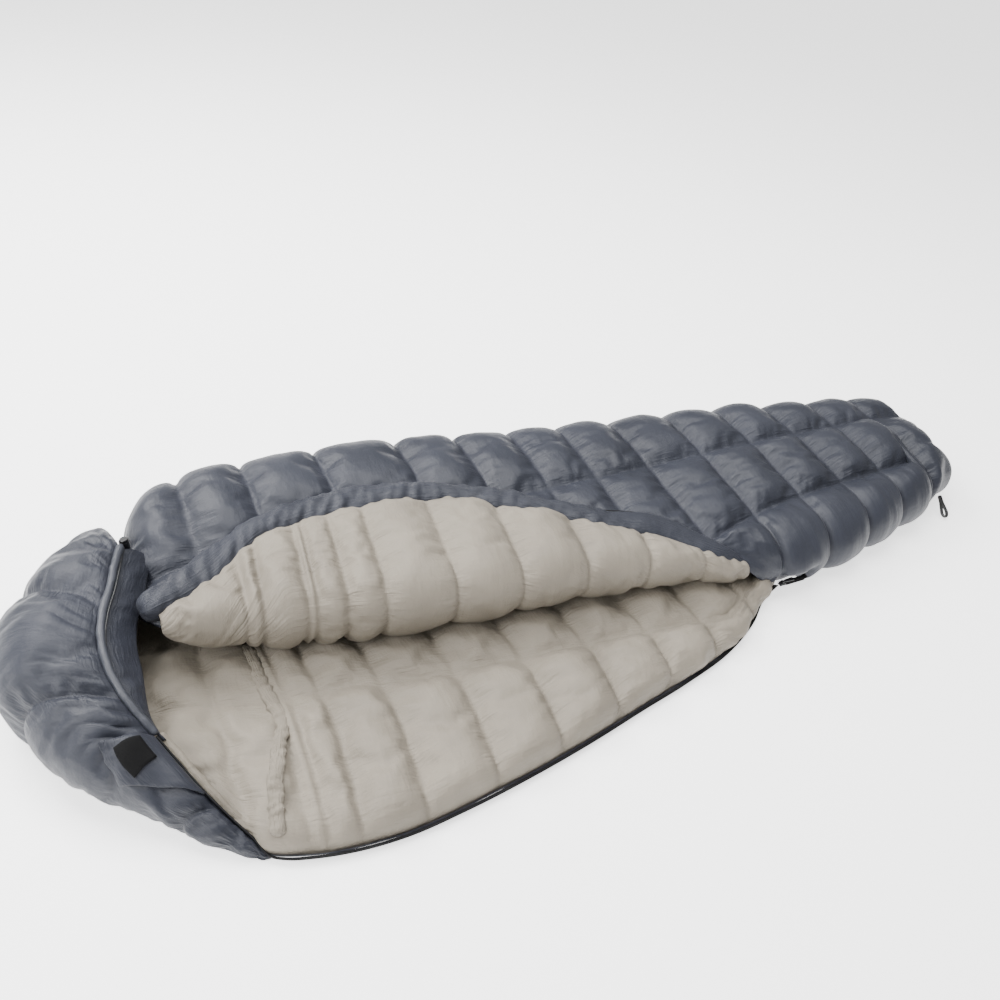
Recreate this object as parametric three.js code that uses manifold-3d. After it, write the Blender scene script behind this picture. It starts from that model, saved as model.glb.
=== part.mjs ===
// A mummy sleeping bag lying on the floor, unzipped, with its top quilt folded back over itself.
// Millimetres. +X runs from the hood to the foot, -Y is the zip side and +Z is up.
// The origin is on the floor under the middle of the bag's length.
import * as THREE from 'three';
import { mergeVertices } from 'three/addons/utils/BufferGeometryUtils.js';
import Module from 'manifold-3d';

const wasm = await Module();
wasm.setup();

// ---- Driving dimensions ------------------------------------------------------------------

// Along the bag, measured from the crown of the hood.
const bagLength = 2110;
const neckAt = 230;                // head edge of the top quilt
const hoodLength = 321;            // the zip's head end, at the corner of the open side
const shoulderAt = 520;
const hipAt = 995;
const zipLength = 1121;
const zipEndAt = hoodLength + zipLength;

// Across the bag, from the centre line to the zip side (near) and to the closed side (far).
const cornerNear = 463;
const shoulderNear = 502;
const hipNear = 429;
const kneeNear = 260;
const footNear = 146;
const neckFar = 205;
const shoulderFar = 334;
const hipFar = 300;
const kneeFar = 246;
const footFar = 158;

// Heights and fills.
const skin = 0.8;                  // one layer of shell or lining cloth
const fillGap = 1.2;               // between a down fill and the cloth around it
const seamGap = 4;                 // between two fills, where the cloth is stitched through
const fit = 2;                     // between sewn pieces that lie beside each other
const underLoft = 40;
const topLoft = 42;
const hoodLoft = 40;
const footLoft = 46;
const bodyHeight = 128;            // floor to the shell of the folded-over torso
const footHeight = 146;            // the foot section isn't pressed down
const footRamp = 160;
const hoodBulge = 72;
const hoodWallRoom = 104;          // how far in from the outline the hood's wall reaches

// The flap: the loose part of the top quilt, hinged where it folds.
const foldNearHead = 112;          // the fold's distance from the centre line at the neck
const flapSlope = 0.05;            // the flap's free edge rests above its fold
const draftRadius = 24;

// Quilting.
const farSeam = 57;                // seam between the side column and the middle column
const nearSeamKnee = 138;
const nearSeamFoot = 66;

// Zip, cords and trim.
const tapeWidth = 12;
const tapeThick = 1.2;
const coilWidth = 2.4;
const coilHeight = 2.2;
const coilGap = 1.8;               // between the two coils of the closed stretch
const zipZ = 9;                    // the open zip edge, just above the floor
const sliderZ = 42;
const sliderTravel = 50;
const sliderLength = 13;
const sliderWall = 1.2;
const dividerWall = 1;
const pullerLength = 32;
const pullerThick = 1.4;
const cordRadius = 1.5;
const channelRadius = 7;
const channelBore = 3;
const lockRadius = 9;
const lockHeight = 20;
const lockTravel = 3;
const springWire = 0.4;
const tabLength = 84;
const tabWidth = 98;
const tabThick = 2.4;
const tabOff = 13;                 // the tab hangs this far off the hood's wall
const patchSize = 40;
const patchThick = 1.6;
const loopLength = 56;
const loopWidth = 17;
const loopWeb = 5;
const loopThick = 1.8;

// ---- Materials ---------------------------------------------------------------------------

const cloth = (color, roughness) => new THREE.MeshStandardMaterial({ color, roughness, metalness: 0 });
const shellCloth = cloth(0x4b515d, 0.42);
const liningCloth = cloth(0xb3ada0, 0.7);
const down = cloth(0xe9e6df, 0.95);
const blackTrim = cloth(0x17171a, 0.55);
const pipingCloth = cloth(0x5a606c, 0.5);
const blackPlastic = cloth(0x101012, 0.25);
const springSteel = new THREE.MeshStandardMaterial({ color: 0xb8babd, roughness: 0.3, metalness: 1 });

// ---- Helpers -----------------------------------------------------------------------------

const bag = new THREE.Group();

function add(name, material, geometry, parent = bag) {
  const mesh = new THREE.Mesh(geometry, material.clone());
  mesh.name = name;
  parent.add(mesh);
  return mesh;
}

// A point by its distance from the crown, its place across the bag and its height.
const at = (s, y, z) => new THREE.Vector3(s - bagLength / 2, y, z);

const lerp = THREE.MathUtils.lerp;
const clamp = THREE.MathUtils.clamp;

// A smooth curve through [s, value] stations.
function through(stations) {
  const slope = (i) => {
    const a = stations[Math.max(i - 1, 0)];
    const b = stations[Math.min(i + 1, stations.length - 1)];
    return (b[1] - a[1]) / (b[0] - a[0]);
  };
  return (s) => {
    const last = stations.length - 2;
    let i = 0;
    while (i < last && s > stations[i + 1][0]) i++;
    const [s0, y0] = stations[i];
    const [s1, y1] = stations[i + 1];
    const span = s1 - s0;
    const t = clamp((s - s0) / span, 0, 1);
    const t2 = t * t;
    const t3 = t2 * t;
    return y0 * (2 * t3 - 3 * t2 + 1) + slope(i) * span * (t3 - 2 * t2 + t)
      + y1 * (3 * t2 - 2 * t3) + slope(i + 1) * span * (t3 - t2);
  };
}

// A ramp from a to b between s0 and s1, level on both sides.
const ramp = (s, s0, s1, a, b) => lerp(a, b, THREE.MathUtils.smoothstep(s, s0, s1));

// A closed block whose corners are moved to place(u, v, w), each from 0 to 1.
function block(name, material, [nu, nv, nw], place, parent) {
  const geometry = new THREE.BoxGeometry(1, 1, 1, nu, nv, nw);
  const position = geometry.attributes.position;
  const corner = new THREE.Vector3();
  for (let i = 0; i < position.count; i++) {
    corner.fromBufferAttribute(position, i).addScalar(0.5);
    const p = place(corner.x, corner.y, corner.z);
    position.setXYZ(i, p.x, p.y, p.z);
  }
  // The face at w = 0 is cut along the same diagonals as the one at w = 1, so a thin cloth is even.
  const { index, groups } = geometry;
  const back = groups[5];
  for (let i = back.start; i < back.start + back.count; i += 6) {
    const [a, b, d, , c] = index.array.slice(i, i + 6);
    index.array.set([a, b, c, a, c, d], i);
  }
  geometry.computeVertexNormals();
  return add(name, material, geometry, parent);
}

function roundSection(radius, sides, bore = 0) {
  const ring = (r) => Array.from({ length: sides }, (_, i) => {
    const a = i * 2 * Math.PI / sides;
    return new THREE.Vector2(r * Math.cos(a), r * Math.sin(a));
  });
  const shape = new THREE.Shape(ring(radius));
  if (bore > 0) shape.holes.push(new THREE.Path(ring(bore)));
  return shape;
}

function rectangle(width, height) {
  const [x, y] = [width / 2, height / 2];
  return new THREE.Shape([[-x, -y], [x, -y], [x, y], [-x, y]].map((p) => new THREE.Vector2(...p)));
}

function sweep(name, material, section, points, steps, parent) {
  const extrudePath = new THREE.CatmullRomCurve3(points, false, 'centripetal');
  const geometry = new THREE.ExtrudeGeometry(section, { steps, extrudePath, bevelEnabled: false });
  return add(name, material, geometry, parent);
}

// Turns a closed geometry into a manifold-3d solid, and back.
function toSolid(geometry) {
  const bare = geometry.index ? geometry.toNonIndexed() : geometry.clone();
  bare.deleteAttribute('normal');
  bare.deleteAttribute('uv');
  const merged = mergeVertices(bare, 1e-4);
  return new wasm.Manifold(new wasm.Mesh({
    numProp: 3,
    vertProperties: new Float32Array(merged.attributes.position.array),
    triVerts: new Uint32Array(merged.index.array),
  }));
}

function fromSolid(result) {
  const mesh = result.getMesh();
  const geometry = new THREE.BufferGeometry();
  geometry.setAttribute('position', new THREE.BufferAttribute(new Float32Array(mesh.vertProperties), 3));
  geometry.setIndex(new THREE.BufferAttribute(new Uint32Array(mesh.triVerts), 1));
  const flat = geometry.toNonIndexed();
  flat.computeVertexNormals();
  return flat;
}

// ---- Outline and heights ------------------------------------------------------------------

// The hood meets the floor along this line, from the open corner round the crown to the far
// shoulder, and ends above it in the rim. Both lists pair up point by point.
const hoodFloor = [
  [300, -446], [225, -384], [150, -314], [86, -252], [45, -188],
  [24, -115], [20, -35], [38, 45], [95, 108], [192, 150],
].map(([s, y]) => at(s, y, fit));
const hoodRim = [
  [300, -432, 26], [246, -349, 70], [200, -262, 104], [168, -208, 136], [151, -155, 160],
  [152, -100, 172], [164, -50, 176], [180, -5, 176], [195, 50, 172], [209, 107, 164],
].map((p) => at(...p));

const nearEdge = through([
  [86, -262], [150, -318], [hoodLength, -cornerNear], [shoulderAt, -shoulderNear],
  [hipAt, -hipNear], [zipEndAt - 160, -352], [zipEndAt, -kneeNear],
  [zipEndAt + 240, -kneeNear + 24], [bagLength, -footNear],
]);
const farEdge = through([
  [38, 55], [95, 118], [192, 160], [neckAt, neckFar], [neckAt + 60, 292],
  [shoulderAt, shoulderFar], [hipAt, hipFar], [zipEndAt, kneeFar], [bagLength, footFar],
]);
const foldEdge = (s) => lerp(-foldNearHead, -kneeNear, (s - neckAt) / (zipEndAt - neckAt));
const freeEdge = through([
  [215, -42], [330, 42], [440, 107], [600, 137], [hipAt - 185, 99], [hipAt - 75, 46],
  [hipAt + 28, -20], [hipAt + 205, -97], [zipEndAt - 152, -158], [zipEndAt, -kneeNear],
]);
const nearSeam = (s) => lerp(-nearSeamKnee, -nearSeamFoot, (s - zipEndAt) / (bagLength - zipEndAt));

const height = (s) => ramp(s, zipEndAt, zipEndAt + footRamp, bodyHeight, footHeight);
const sideRadius = (s) => (height(s) - fit) / 2;
const loft = (s) => ramp(s, zipEndAt, zipEndAt + footRamp, topLoft, footLoft);
const quilt = (thick) => thick + 2 * (skin + fillGap);

// The foot end is shut by a round-sided panel. The quilts stop short of it.
const footWallAt = bagLength - quilt(footLoft);
const quiltEnd = footWallAt - fit;

// ---- Underside ----------------------------------------------------------------------------

const underNear = (s) => nearEdge(s) + (s < zipEndAt
  ? ramp(s, hoodLength - 60, hoodLength + 20, hoodWallRoom, tapeWidth + 2 * fit)
  : sideRadius(s) + fit);
const underFar = (s) => farEdge(s) - (s < neckAt ? hoodWallRoom : sideRadius(s) + fit);
const underTop = skin + fillGap + underLoft;

function outline(inset) {
  const line = new THREE.CatmullRomCurve3(hoodFloor, false, 'centripetal');
  const points = line.getPoints(22).reverse().map((p) => [p.x, p.y]);
  const steps = 30;
  for (let i = 0; i <= steps; i++) {
    const s = lerp(hoodLength, bagLength - inset, i / steps);
    points.push([at(s, 0, 0).x, nearEdge(s) + (s > zipEndAt ? inset : tapeWidth + fit)]);
  }
  for (let i = steps; i >= 0; i--) {
    const s = lerp(neckAt, bagLength - inset, i / steps);
    points.push([at(s, 0, 0).x, farEdge(s) - inset]);
  }
  return new THREE.Shape(points.map((p) => new THREE.Vector2(...p)));
}

add('underside_shell', shellCloth,
  new THREE.ExtrudeGeometry(outline(30), { depth: skin, bevelEnabled: false }));

// Fills and cloths share their stations along the bag, so their faces stay parallel: each fill
// has rowSteps steps between two seams, and a cloth follows all of them.
const rowSteps = 4;
const rowAlong = (splits, i) => (u) =>
  lerp(splits[i - 1] + seamGap / 2, splits[i] - seamGap / 2, u);
function clothAlong(splits) {
  const stations = [];
  for (let i = 1; i < splits.length; i++) {
    for (let k = 0; k <= rowSteps; k++) stations.push(rowAlong(splits, i)(k / rowSteps));
  }
  const last = stations.length - 1;
  return { steps: last, along: (u) => stations[Math.round(u * last)] };
}
const torsoSplits = [neckAt, shoulderAt + 60, hipAt + 40, zipEndAt];
const footSplits = [zipEndAt, zipEndAt + 318, quiltEnd];

const acrossUnder = (s, v, z) => at(s, lerp(underNear(s), underFar(s), v), z);
// The lining is sewn to the shell round the edge, and lies level over the fills.
const underLiningZ = underTop + fillGap;
const hoodSplits = [hoodWallRoom, neckAt];
let underCount = 0;
for (const splits of [hoodSplits, torsoSplits, footSplits]) {
  for (let i = 1; i < splits.length; i++) {
    underCount += 1;
    block(`underside_down_${underCount}`, down, [rowSteps, 2, 1], (u, v, w) =>
      acrossUnder(rowAlong(splits, i)(u), v, lerp(skin + fillGap, underTop, w)));
  }
}
const underCloth = clothAlong([...torsoSplits, ...footSplits.slice(1)]);
block('underside_lining', liningCloth, [underCloth.steps, 1, 1], (u, v, w) =>
  acrossUnder(underCloth.along(u), v, underLiningZ + w * skin));
block('hood_floor_lining', liningCloth, [rowSteps, 1, 1], (u, v, w) =>
  acrossUnder(rowAlong(hoodSplits, 1)(u), v, underLiningZ + w * skin));

// ---- Top quilt, closed part ---------------------------------------------------------------

// The quilt's outer face at one station: up round the far side, over the top and, on the foot
// section, down round the near side. side counts from the floor (0) to the top (1).
function farFace(s, side, inset) {
  const r = sideRadius(s);
  const a = lerp(-Math.PI / 2, Math.PI / 2, side);
  return at(s, farEdge(s) - r + (r - inset) * Math.cos(a), fit + r + (r - inset) * Math.sin(a));
}
function nearFace(s, side, inset) {
  const r = sideRadius(s);
  const a = lerp(-Math.PI / 2, Math.PI / 2, side);
  return at(s, nearEdge(s) + r - (r - inset) * Math.cos(a), fit + r + (r - inset) * Math.sin(a));
}
const topFace = (s, y, inset) => at(s, y, height(s) - inset);

// v runs from the far floor line, round the side (up to sideShare) and on to the line y = end(s).
const sideShare = 0.7;
function farColumn(s, v, inset, end) {
  if (v <= sideShare) return farFace(s, v / sideShare, inset);
  const from = farEdge(s) - sideRadius(s);
  return topFace(s, lerp(from, end(s), (v - sideShare) / (1 - sideShare)), inset);
}
function nearColumn(s, v, inset) {
  if (v >= 1 - sideShare) return nearFace(s, (1 - v) / sideShare, inset);
  const to = nearEdge(s) + sideRadius(s);
  return topFace(s, lerp(nearSeam(s) - seamGap / 2, to, v / (1 - sideShare)), inset);
}
const sideSteps = 10;              // 7 round the side and 3 over the top
const fillInset = (s, w) => skin + fillGap + w * loft(s);
const liningInset = (s, w) => quilt(loft(s)) - skin + w * skin;

const quiltFills = (part, splits, middleEnd) => {
  for (let i = 1; i < splits.length; i++) {
    const along = rowAlong(splits, i);
    block(`${part}_side_down_${i}`, down, [rowSteps, sideSteps, 1], (u, v, w) => {
      const s = along(u);
      return farColumn(s, v, fillInset(s, w), () => farSeam + seamGap / 2);
    });
    block(`${part}_middle_down_${i}`, down, [rowSteps, 1, 1], (u, v, w) => {
      const s = along(u);
      return topFace(s, lerp(farSeam - seamGap / 2, middleEnd(s), v), fillInset(s, w));
    });
  }
};
const covers = { shell: [shellCloth, (s, w) => w * skin], lining: [liningCloth, liningInset] };

// The torso's quilt runs from the far floor line to the fold.
const foldSide = (s) => foldEdge(s) + fit;
quiltFills('torso', torsoSplits, foldSide);
for (const [layer, [cover, inset]] of Object.entries(covers)) {
  const { steps, along } = clothAlong(torsoSplits);
  block(`torso_${layer}`, cover, [steps, sideSteps, 1], (u, v, w) => {
    const s = along(u);
    return farColumn(s, v, inset(s, w), foldSide);
  });
}
// The foot section's goes right round, from one floor line to the other.
quiltFills('foot', footSplits, (s) => nearSeam(s) + seamGap / 2);
for (let i = 1; i < footSplits.length; i++) {
  block(`foot_near_down_${i}`, down, [rowSteps, sideSteps, 1], (u, v, w) => {
    const s = rowAlong(footSplits, i)(u);
    return nearColumn(s, v, fillInset(s, w));
  });
}
for (const [layer, [cover, inset]] of Object.entries(covers)) {
  const { steps, along } = clothAlong(footSplits);
  block(`foot_${layer}`, cover, [steps, 2 * sideSteps, 1], (u, v, w) => {
    const s = along(u);
    if (v <= 0.5) return farColumn(s, 2 * v, inset(s, w), (x) => nearSeam(x) - seamGap / 2);
    return nearColumn(s, 2 * v - 1, inset(s, w));
  });
}

// ---- Foot end -----------------------------------------------------------------------------

// A round-sided wall: its section is the quilt's own outer face, drawn in towards the end.
function footWall(name, cover, s0, s1, inset) {
  block(name, cover, [1, 8, 6], (u, v, w) => {
    const s = lerp(s0, s1, u);
    const drawn = inset + 10 * u;
    const r = sideRadius(footWallAt) - drawn;
    const a = lerp(-Math.PI / 2, Math.PI / 2, w);
    const reach = r * Math.cos(a);
    const near = nearEdge(s) + drawn + r - reach;
    const far = farEdge(s) - drawn - r + reach;
    return at(s, lerp(near, far, v), fit + sideRadius(footWallAt) + r * Math.sin(a));
  });
}
footWall('foot_end_down', down, footWallAt + skin + fillGap, bagLength - skin - fillGap, fillGap);
footWall('foot_end_shell', shellCloth, bagLength - skin, bagLength, 0);

// ---- Hood ---------------------------------------------------------------------------------

const floorLine = new THREE.CatmullRomCurve3(hoodFloor, false, 'centripetal');
const rimLine = new THREE.CatmullRomCurve3(hoodRim, false, 'centripetal');

// The hood's outer face: u from the open corner round the crown, v from the floor to the rim.
function hoodOuter(u, v) {
  const low = floorLine.getPoint(u);
  const high = rimLine.getPoint(u);
  const across = high.clone().sub(low);
  const run = Math.hypot(across.x, across.y);
  const out = new THREE.Vector3(
    -across.x * across.z / run, -across.y * across.z / run, run).normalize();
  const bulge = hoodBulge * THREE.MathUtils.smoothstep(u, -0.1, 0.55) * Math.sin(Math.PI * v);
  return low.addScaledVector(across, v).addScaledVector(out, bulge);
}
const hoodThin = (u) => THREE.MathUtils.smoothstep(u, -0.15, 0.4);
// A point under the outer face, on the way to a line low down inside the face opening.
function hoodFace(u, v, inset) {
  const heart = rimLine.getPoint(u);
  heart.z *= 0.3;
  const outer = hoodOuter(u, v);
  return outer.clone().addScaledVector(heart.sub(outer).normalize(), inset);
}
const hoodStart = 0.12;
const hoodPanels = 4;
const hoodGap = 0.012;
for (let i = 0; i < hoodPanels; i++) {
  const u0 = lerp(hoodStart, 1, i / hoodPanels) + hoodGap / 2;
  const u1 = lerp(hoodStart, 1, (i + 1) / hoodPanels) - hoodGap / 2;
  block(`hood_down_${i + 1}`, down, [5, 8, 1], (u, v, w) => {
    const a = lerp(u0, u1, u);
    return hoodFace(a, lerp(0.02, 0.96, v), skin + fillGap + w * hoodLoft * hoodThin(a));
  });
}
block('hood_shell', shellCloth, [20, 8, 1], (u, v, w) =>
  hoodFace(lerp(hoodStart, 1, u), lerp(0.01, 0.97, v), w * skin));
block('hood_lining', liningCloth, [20, 8, 1], (u, v, w) => {
  const a = lerp(hoodStart, 1, u);
  return hoodFace(a, lerp(0.02, 0.9, v), hoodLoft * hoodThin(a) + skin + 3 * fillGap + w * skin);
});

// The rim of the face opening: a piped channel with the drawcord inside it.
const rimStart = 0.33;
const rimPoints = (from, to, count, drop) => Array.from({ length: count }, (_, i) => {
  const p = rimLine.getPoint(lerp(from, to, i / (count - 1)));
  return p.add(new THREE.Vector3(channelRadius + fit, 0, -drop));
});
const rimSteps = 22;
sweep('rim_channel', pipingCloth, roundSection(channelRadius, 8, channelBore),
  rimPoints(rimStart, 0.99, 16, 0), rimSteps);
const cordPath = rimPoints(rimStart, 0.99, 16, 0);
const cordMouth = cordPath[cordPath.length - 1];
const cordRun = cordMouth.clone().sub(cordPath[cordPath.length - 2]).setZ(0).normalize();
const lockPlace = cordMouth.clone().addScaledVector(cordRun, lockRadius + fit);
cordPath.push(lockPlace.clone().addScaledVector(cordRun, lockRadius + 2 * fit));
sweep('hood_drawcord', blackTrim, roundSection(cordRadius, 6), cordPath, rimSteps + 4);

// The facing is a band of shell cloth just inside the rim.
block('hood_facing', shellCloth, [14, 1, 1], (u, v, w) => {
  const a = lerp(rimStart, 0.97, u);
  const p = rimLine.getPoint(a);
  return p.add(new THREE.Vector3(
    2 * channelRadius + fit + 4 - w * skin, 0, -channelRadius - fit - 26 * v));
});

// ---- Cord lock ----------------------------------------------------------------------------

// A barrel with a sprung plunger. The cord goes through a cross hole in both.
const lockWall = 1.6;
const holeRadius = cordRadius + 0.5;
const holeZ = 13;
const lock = new THREE.Group();
lock.position.copy(lockPlace);
lock.position.z -= holeZ;
lock.rotation.z = Math.atan2(cordRun.y, cordRun.x);
bag.add(lock);

const lathe = (points, segments = 20) =>
  new THREE.LatheGeometry(points.map((p) => new THREE.Vector2(...p)), segments)
    .rotateX(Math.PI / 2);
const drill = (tall, long) => new THREE.BoxGeometry(long, 2 * holeRadius, tall);

const barrelShape = lathe([[0, 0], [lockRadius, 0], [lockRadius, lockHeight],
  [lockRadius - lockWall, lockHeight], [lockRadius - lockWall, lockWall], [0, lockWall]]);
const crossHole = drill(2 * holeRadius, 3 * lockRadius).translate(0, 0, holeZ);
add('cord_lock_barrel', blackPlastic,
  fromSolid(toSolid(barrelShape).subtract(toSolid(crossHole))), lock);

// The plunger's slot is longer than the cord is thick by the plunger's travel.
const plungerRadius = lockRadius - lockWall - 0.3;
const plungerFoot = holeZ - holeRadius - 1.5;
const plungerTop = lockHeight + lockTravel + 2;
const plungerShape = lathe([[0, plungerFoot], [plungerRadius, plungerFoot],
  [plungerRadius, plungerTop - 1], [plungerRadius - 1, plungerTop], [0, plungerTop]]);
const slot = drill(2 * holeRadius + lockTravel, 3 * lockRadius)
  .translate(0, 0, holeZ + lockTravel / 2);
add('cord_lock_button', blackPlastic,
  fromSolid(toSolid(plungerShape).subtract(toSolid(slot))), lock);

const springLow = lockWall + springWire + 0.3;
const springHigh = plungerFoot - springWire - 0.3;
const springTurns = 4;
const coilPoints = Array.from({ length: springTurns * 8 + 1 }, (_, i) => {
  const a = i * Math.PI / 4;
  const r = plungerRadius - 2;
  return new THREE.Vector3(r * Math.cos(a), r * Math.sin(a),
    lerp(springLow, springHigh, i / (springTurns * 8)));
});
sweep('cord_lock_spring', springSteel, roundSection(springWire, 5), coilPoints,
  springTurns * 8, lock);

// ---- Flap ---------------------------------------------------------------------------------

const foldZ = bodyHeight + fit / 2;
const flapFootAt = zipEndAt - 150;
// A line that runs inside the free edge, at an even distance from it.
function insideEdge(s, distance) {
  const slope = (freeEdge(s + 1) - freeEdge(s - 1)) / 2;
  return freeEdge(s) - distance * Math.hypot(1, slope);
}
const flapFar = (s) => insideEdge(s, 2 * draftRadius + 2 * fit);
const flapZ = (s, y) => foldZ + fit / 2 + flapSlope * (y - foldSide(s));
function flapPoint(s, v, lift) {
  const y = lerp(foldSide(s), flapFar(s), v);
  return at(s, y, flapZ(s, y) + lift);
}
const flapSplits = [neckAt + 26, shoulderAt + 60, hipAt - 95, flapFootAt];
for (let i = 1; i < flapSplits.length; i++) {
  block(`flap_down_${i}`, down, [rowSteps, 1, 1], (u, v, w) =>
    flapPoint(rowAlong(flapSplits, i)(u), v, skin + fillGap + w * topLoft));
}
const flapCloth = clothAlong(flapSplits);
for (const [layer, cover, low] of [['shell', shellCloth, 0],
  ['lining', liningCloth, quilt(topLoft) - skin]]) {
  block(`flap_${layer}`, cover, [flapCloth.steps, 1, 1], (u, v, w) =>
    flapPoint(flapCloth.along(u), v, low + w * skin));
}

// The draft tube lies along the free edge, with the flap's zip tape on its far side.
const draftStart = neckAt - 14;
const draftEnd = zipEndAt - 132;
const edgeLine = (from, to, inside, lift) => Array.from({ length: 16 }, (_, i) => {
  const s = lerp(from, to, i / 15);
  const y = insideEdge(s, inside);
  return at(s, y, flapZ(s, y) + lift);
});
const edgeSteps = 24;
sweep('draft_tube', shellCloth, roundSection(draftRadius, 10),
  edgeLine(draftStart, draftEnd, draftRadius, draftRadius + 2 * fit), edgeSteps);
const tapeOut = tapeWidth / 2 - 4;
sweep('flap_zip_tape', blackTrim, rectangle(tapeThick, tapeWidth),
  edgeLine(neckAt, draftEnd, -tapeOut, 0), edgeSteps);
sweep('flap_zip_coil', blackTrim, rectangle(coilHeight, coilWidth),
  edgeLine(neckAt, draftEnd, -tapeOut - (tapeWidth + coilWidth) / 2 - 0.5, 0), edgeSteps);

// The loop patch that the closure tab's hooks hold to, on the flap's outer cloth.
const loopPatchAt = neckAt + 92;
block('flap_loop_patch', blackTrim, [2, 1, 1], (u, v, w) => {
  const s = loopPatchAt + patchSize * (u - 0.5);
  const y = foldSide(s) + 24 + patchSize * v;
  return at(s, y, flapZ(s, y) - 0.4 - patchThick * (1 - w));
});

// ---- Neck bands ---------------------------------------------------------------------------

const bandRadius = 4;
const bandPoints = [[381, -70], [388, -170], [392, -248], [372, -324], [350, -385], [336, -440]];
sweep('neck_band', liningCloth, roundSection(bandRadius, 6),
  bandPoints.map(([s, y]) => at(s, y, underLiningZ + skin + bandRadius + 0.5)), 12);
sweep('flap_neck_band', liningCloth, roundSection(bandRadius, 6),
  [0.08, 0.35, 0.65, 0.92].map((v) => flapPoint(lerp(381, 420, v), v,
    quilt(topLoft) + bandRadius + 0.5)), 8);

// ---- Zip ----------------------------------------------------------------------------------

// The open edge runs from the rim, down the hood's side wall to the corner and along the floor
// to the slider. Past the slider the two coils lie side by side, and end in the bottom stop.
const chainY = nearEdge(zipEndAt) - 14;
const coilPitch = (coilWidth + coilGap) / 2;
const hoodZip = [0.3, 0.22, 0.11].map((u) => rimLine.getPoint(u).add(new THREE.Vector3(4, -4, 9)));
const openStations = [hoodLength + 20, 420, shoulderAt, 700, 850, hipAt, hipAt + 135,
  zipEndAt - 160, zipEndAt - 80];
const openLine = (out) => [
  ...hoodZip.map((p) => p.clone().add(new THREE.Vector3(0, -out, 0))),
  at(hoodLength - 8, -cornerNear + 10 - out, zipZ + 12),
  ...openStations.map((s) => at(s, nearEdge(s) + tapeWidth / 2 - out, zipZ)),
  at(zipEndAt - 26, chainY + coilPitch - out, sliderZ - 9),
];
sweep('zip_tape', blackTrim, rectangle(tapeThick, tapeWidth), openLine(0), 44);
sweep('zip_coil', blackTrim, rectangle(coilHeight, coilWidth),
  openLine((tapeWidth + coilWidth) / 2 + 1.4), 44);

const zip = new THREE.Group();
zip.position.copy(at(zipEndAt, chainY, sliderZ));
bag.add(zip);

// A box by its size and the middle of its base.
function brick(length, width, tall, x, y, z) {
  return new THREE.BoxGeometry(length, width, tall).translate(x, y, z + tall / 2);
}
const running = 0.4;
const mouth = coilHeight + 2 * running;
const sliderWidth = 2 * (coilPitch + coilWidth / 2 + running) + 2 * sliderWall;
const closedLength = sliderTravel + sliderLength + 2;
const join = (pieces) => fromSolid(pieces.map(toSolid).reduce((a, b) => a.add(b)));
for (const [side, sign] of [['near', -1], ['far', 1]]) {
  const tape = sign < 0 ? tapeWidth : tapeWidth / 2;
  const middle = closedLength / 2 - sliderLength / 2 + fit;
  add(`closed_zip_${side}`, blackTrim, join([
    brick(closedLength, coilWidth, coilHeight, middle, sign * coilPitch, -coilHeight / 2),
    brick(closedLength, tape + 1, tapeThick, middle,
      sign * (coilPitch + (coilWidth + tape - 1) / 2), -tapeThick / 2),
  ]), zip);
}
const stopAt = closedLength - sliderLength / 2 + 2 * fit;
add('bottom_stop', blackPlastic,
  brick(5, 2 * coilPitch + 2 * coilWidth, mouth, stopAt + 2.5, 0, -mouth / 2), zip);

// The slider: two plates joined by a thin divider, and two ears with a pin for the puller.
const plateTop = mouth / 2 + sliderWall;
const pinRadius = 0.9;
const knuckleRadius = 2.1;
const knuckleLength = 4;
const earAt = knuckleLength / 2 + running + 0.6;
const pinZ = plateTop + knuckleRadius + running;
const crossPin = (radius, length) => new THREE.CylinderGeometry(radius, radius, length, 12);
add('slider_body', blackPlastic, join([
  brick(sliderLength, sliderWidth, sliderWall, 0, 0, -plateTop),
  brick(sliderLength, sliderWidth, sliderWall, 0, 0, mouth / 2),
  brick(sliderLength / 2, dividerWall, mouth + 0.2, -sliderLength / 4, 0, -mouth / 2 - 0.1),
  brick(3.4, 1.2, knuckleRadius + 2, 0, -earAt, plateTop - 0.1),
  brick(3.4, 1.2, knuckleRadius + 2, 0, earAt, plateTop - 0.1),
  crossPin(pinRadius, 2 * earAt).translate(0, 0, pinZ),
]), zip);

// The puller turns on the pin, and lies along the closed zip.
const puller = new THREE.Group();
puller.position.set(0, 0, pinZ);
zip.add(puller);
const pullerOutline = new THREE.Shape()
  .moveTo(3, -1.7).lineTo(7, -3.4).lineTo(pullerLength - 4, -4.6)
  .quadraticCurveTo(pullerLength, 0, pullerLength - 4, 4.6).lineTo(7, 3.4).lineTo(3, 1.7);
const pullerPlate = new THREE.ExtrudeGeometry(pullerOutline, {
  depth: pullerThick, bevelEnabled: false, curveSegments: 5 }).translate(0, 0, -pullerThick / 2);
const knuckle = toSolid(crossPin(knuckleRadius, knuckleLength))
  .add(toSolid(pullerPlate))
  .add(toSolid(brick(3, 3.4, pullerThick, 2.2, 0, -pullerThick / 2)))
  .subtract(toSolid(crossPin(pinRadius + running, knuckleLength + 1)));
add('slider_puller', blackPlastic, fromSolid(knuckle), puller);

// ---- Closure tab --------------------------------------------------------------------------

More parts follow.
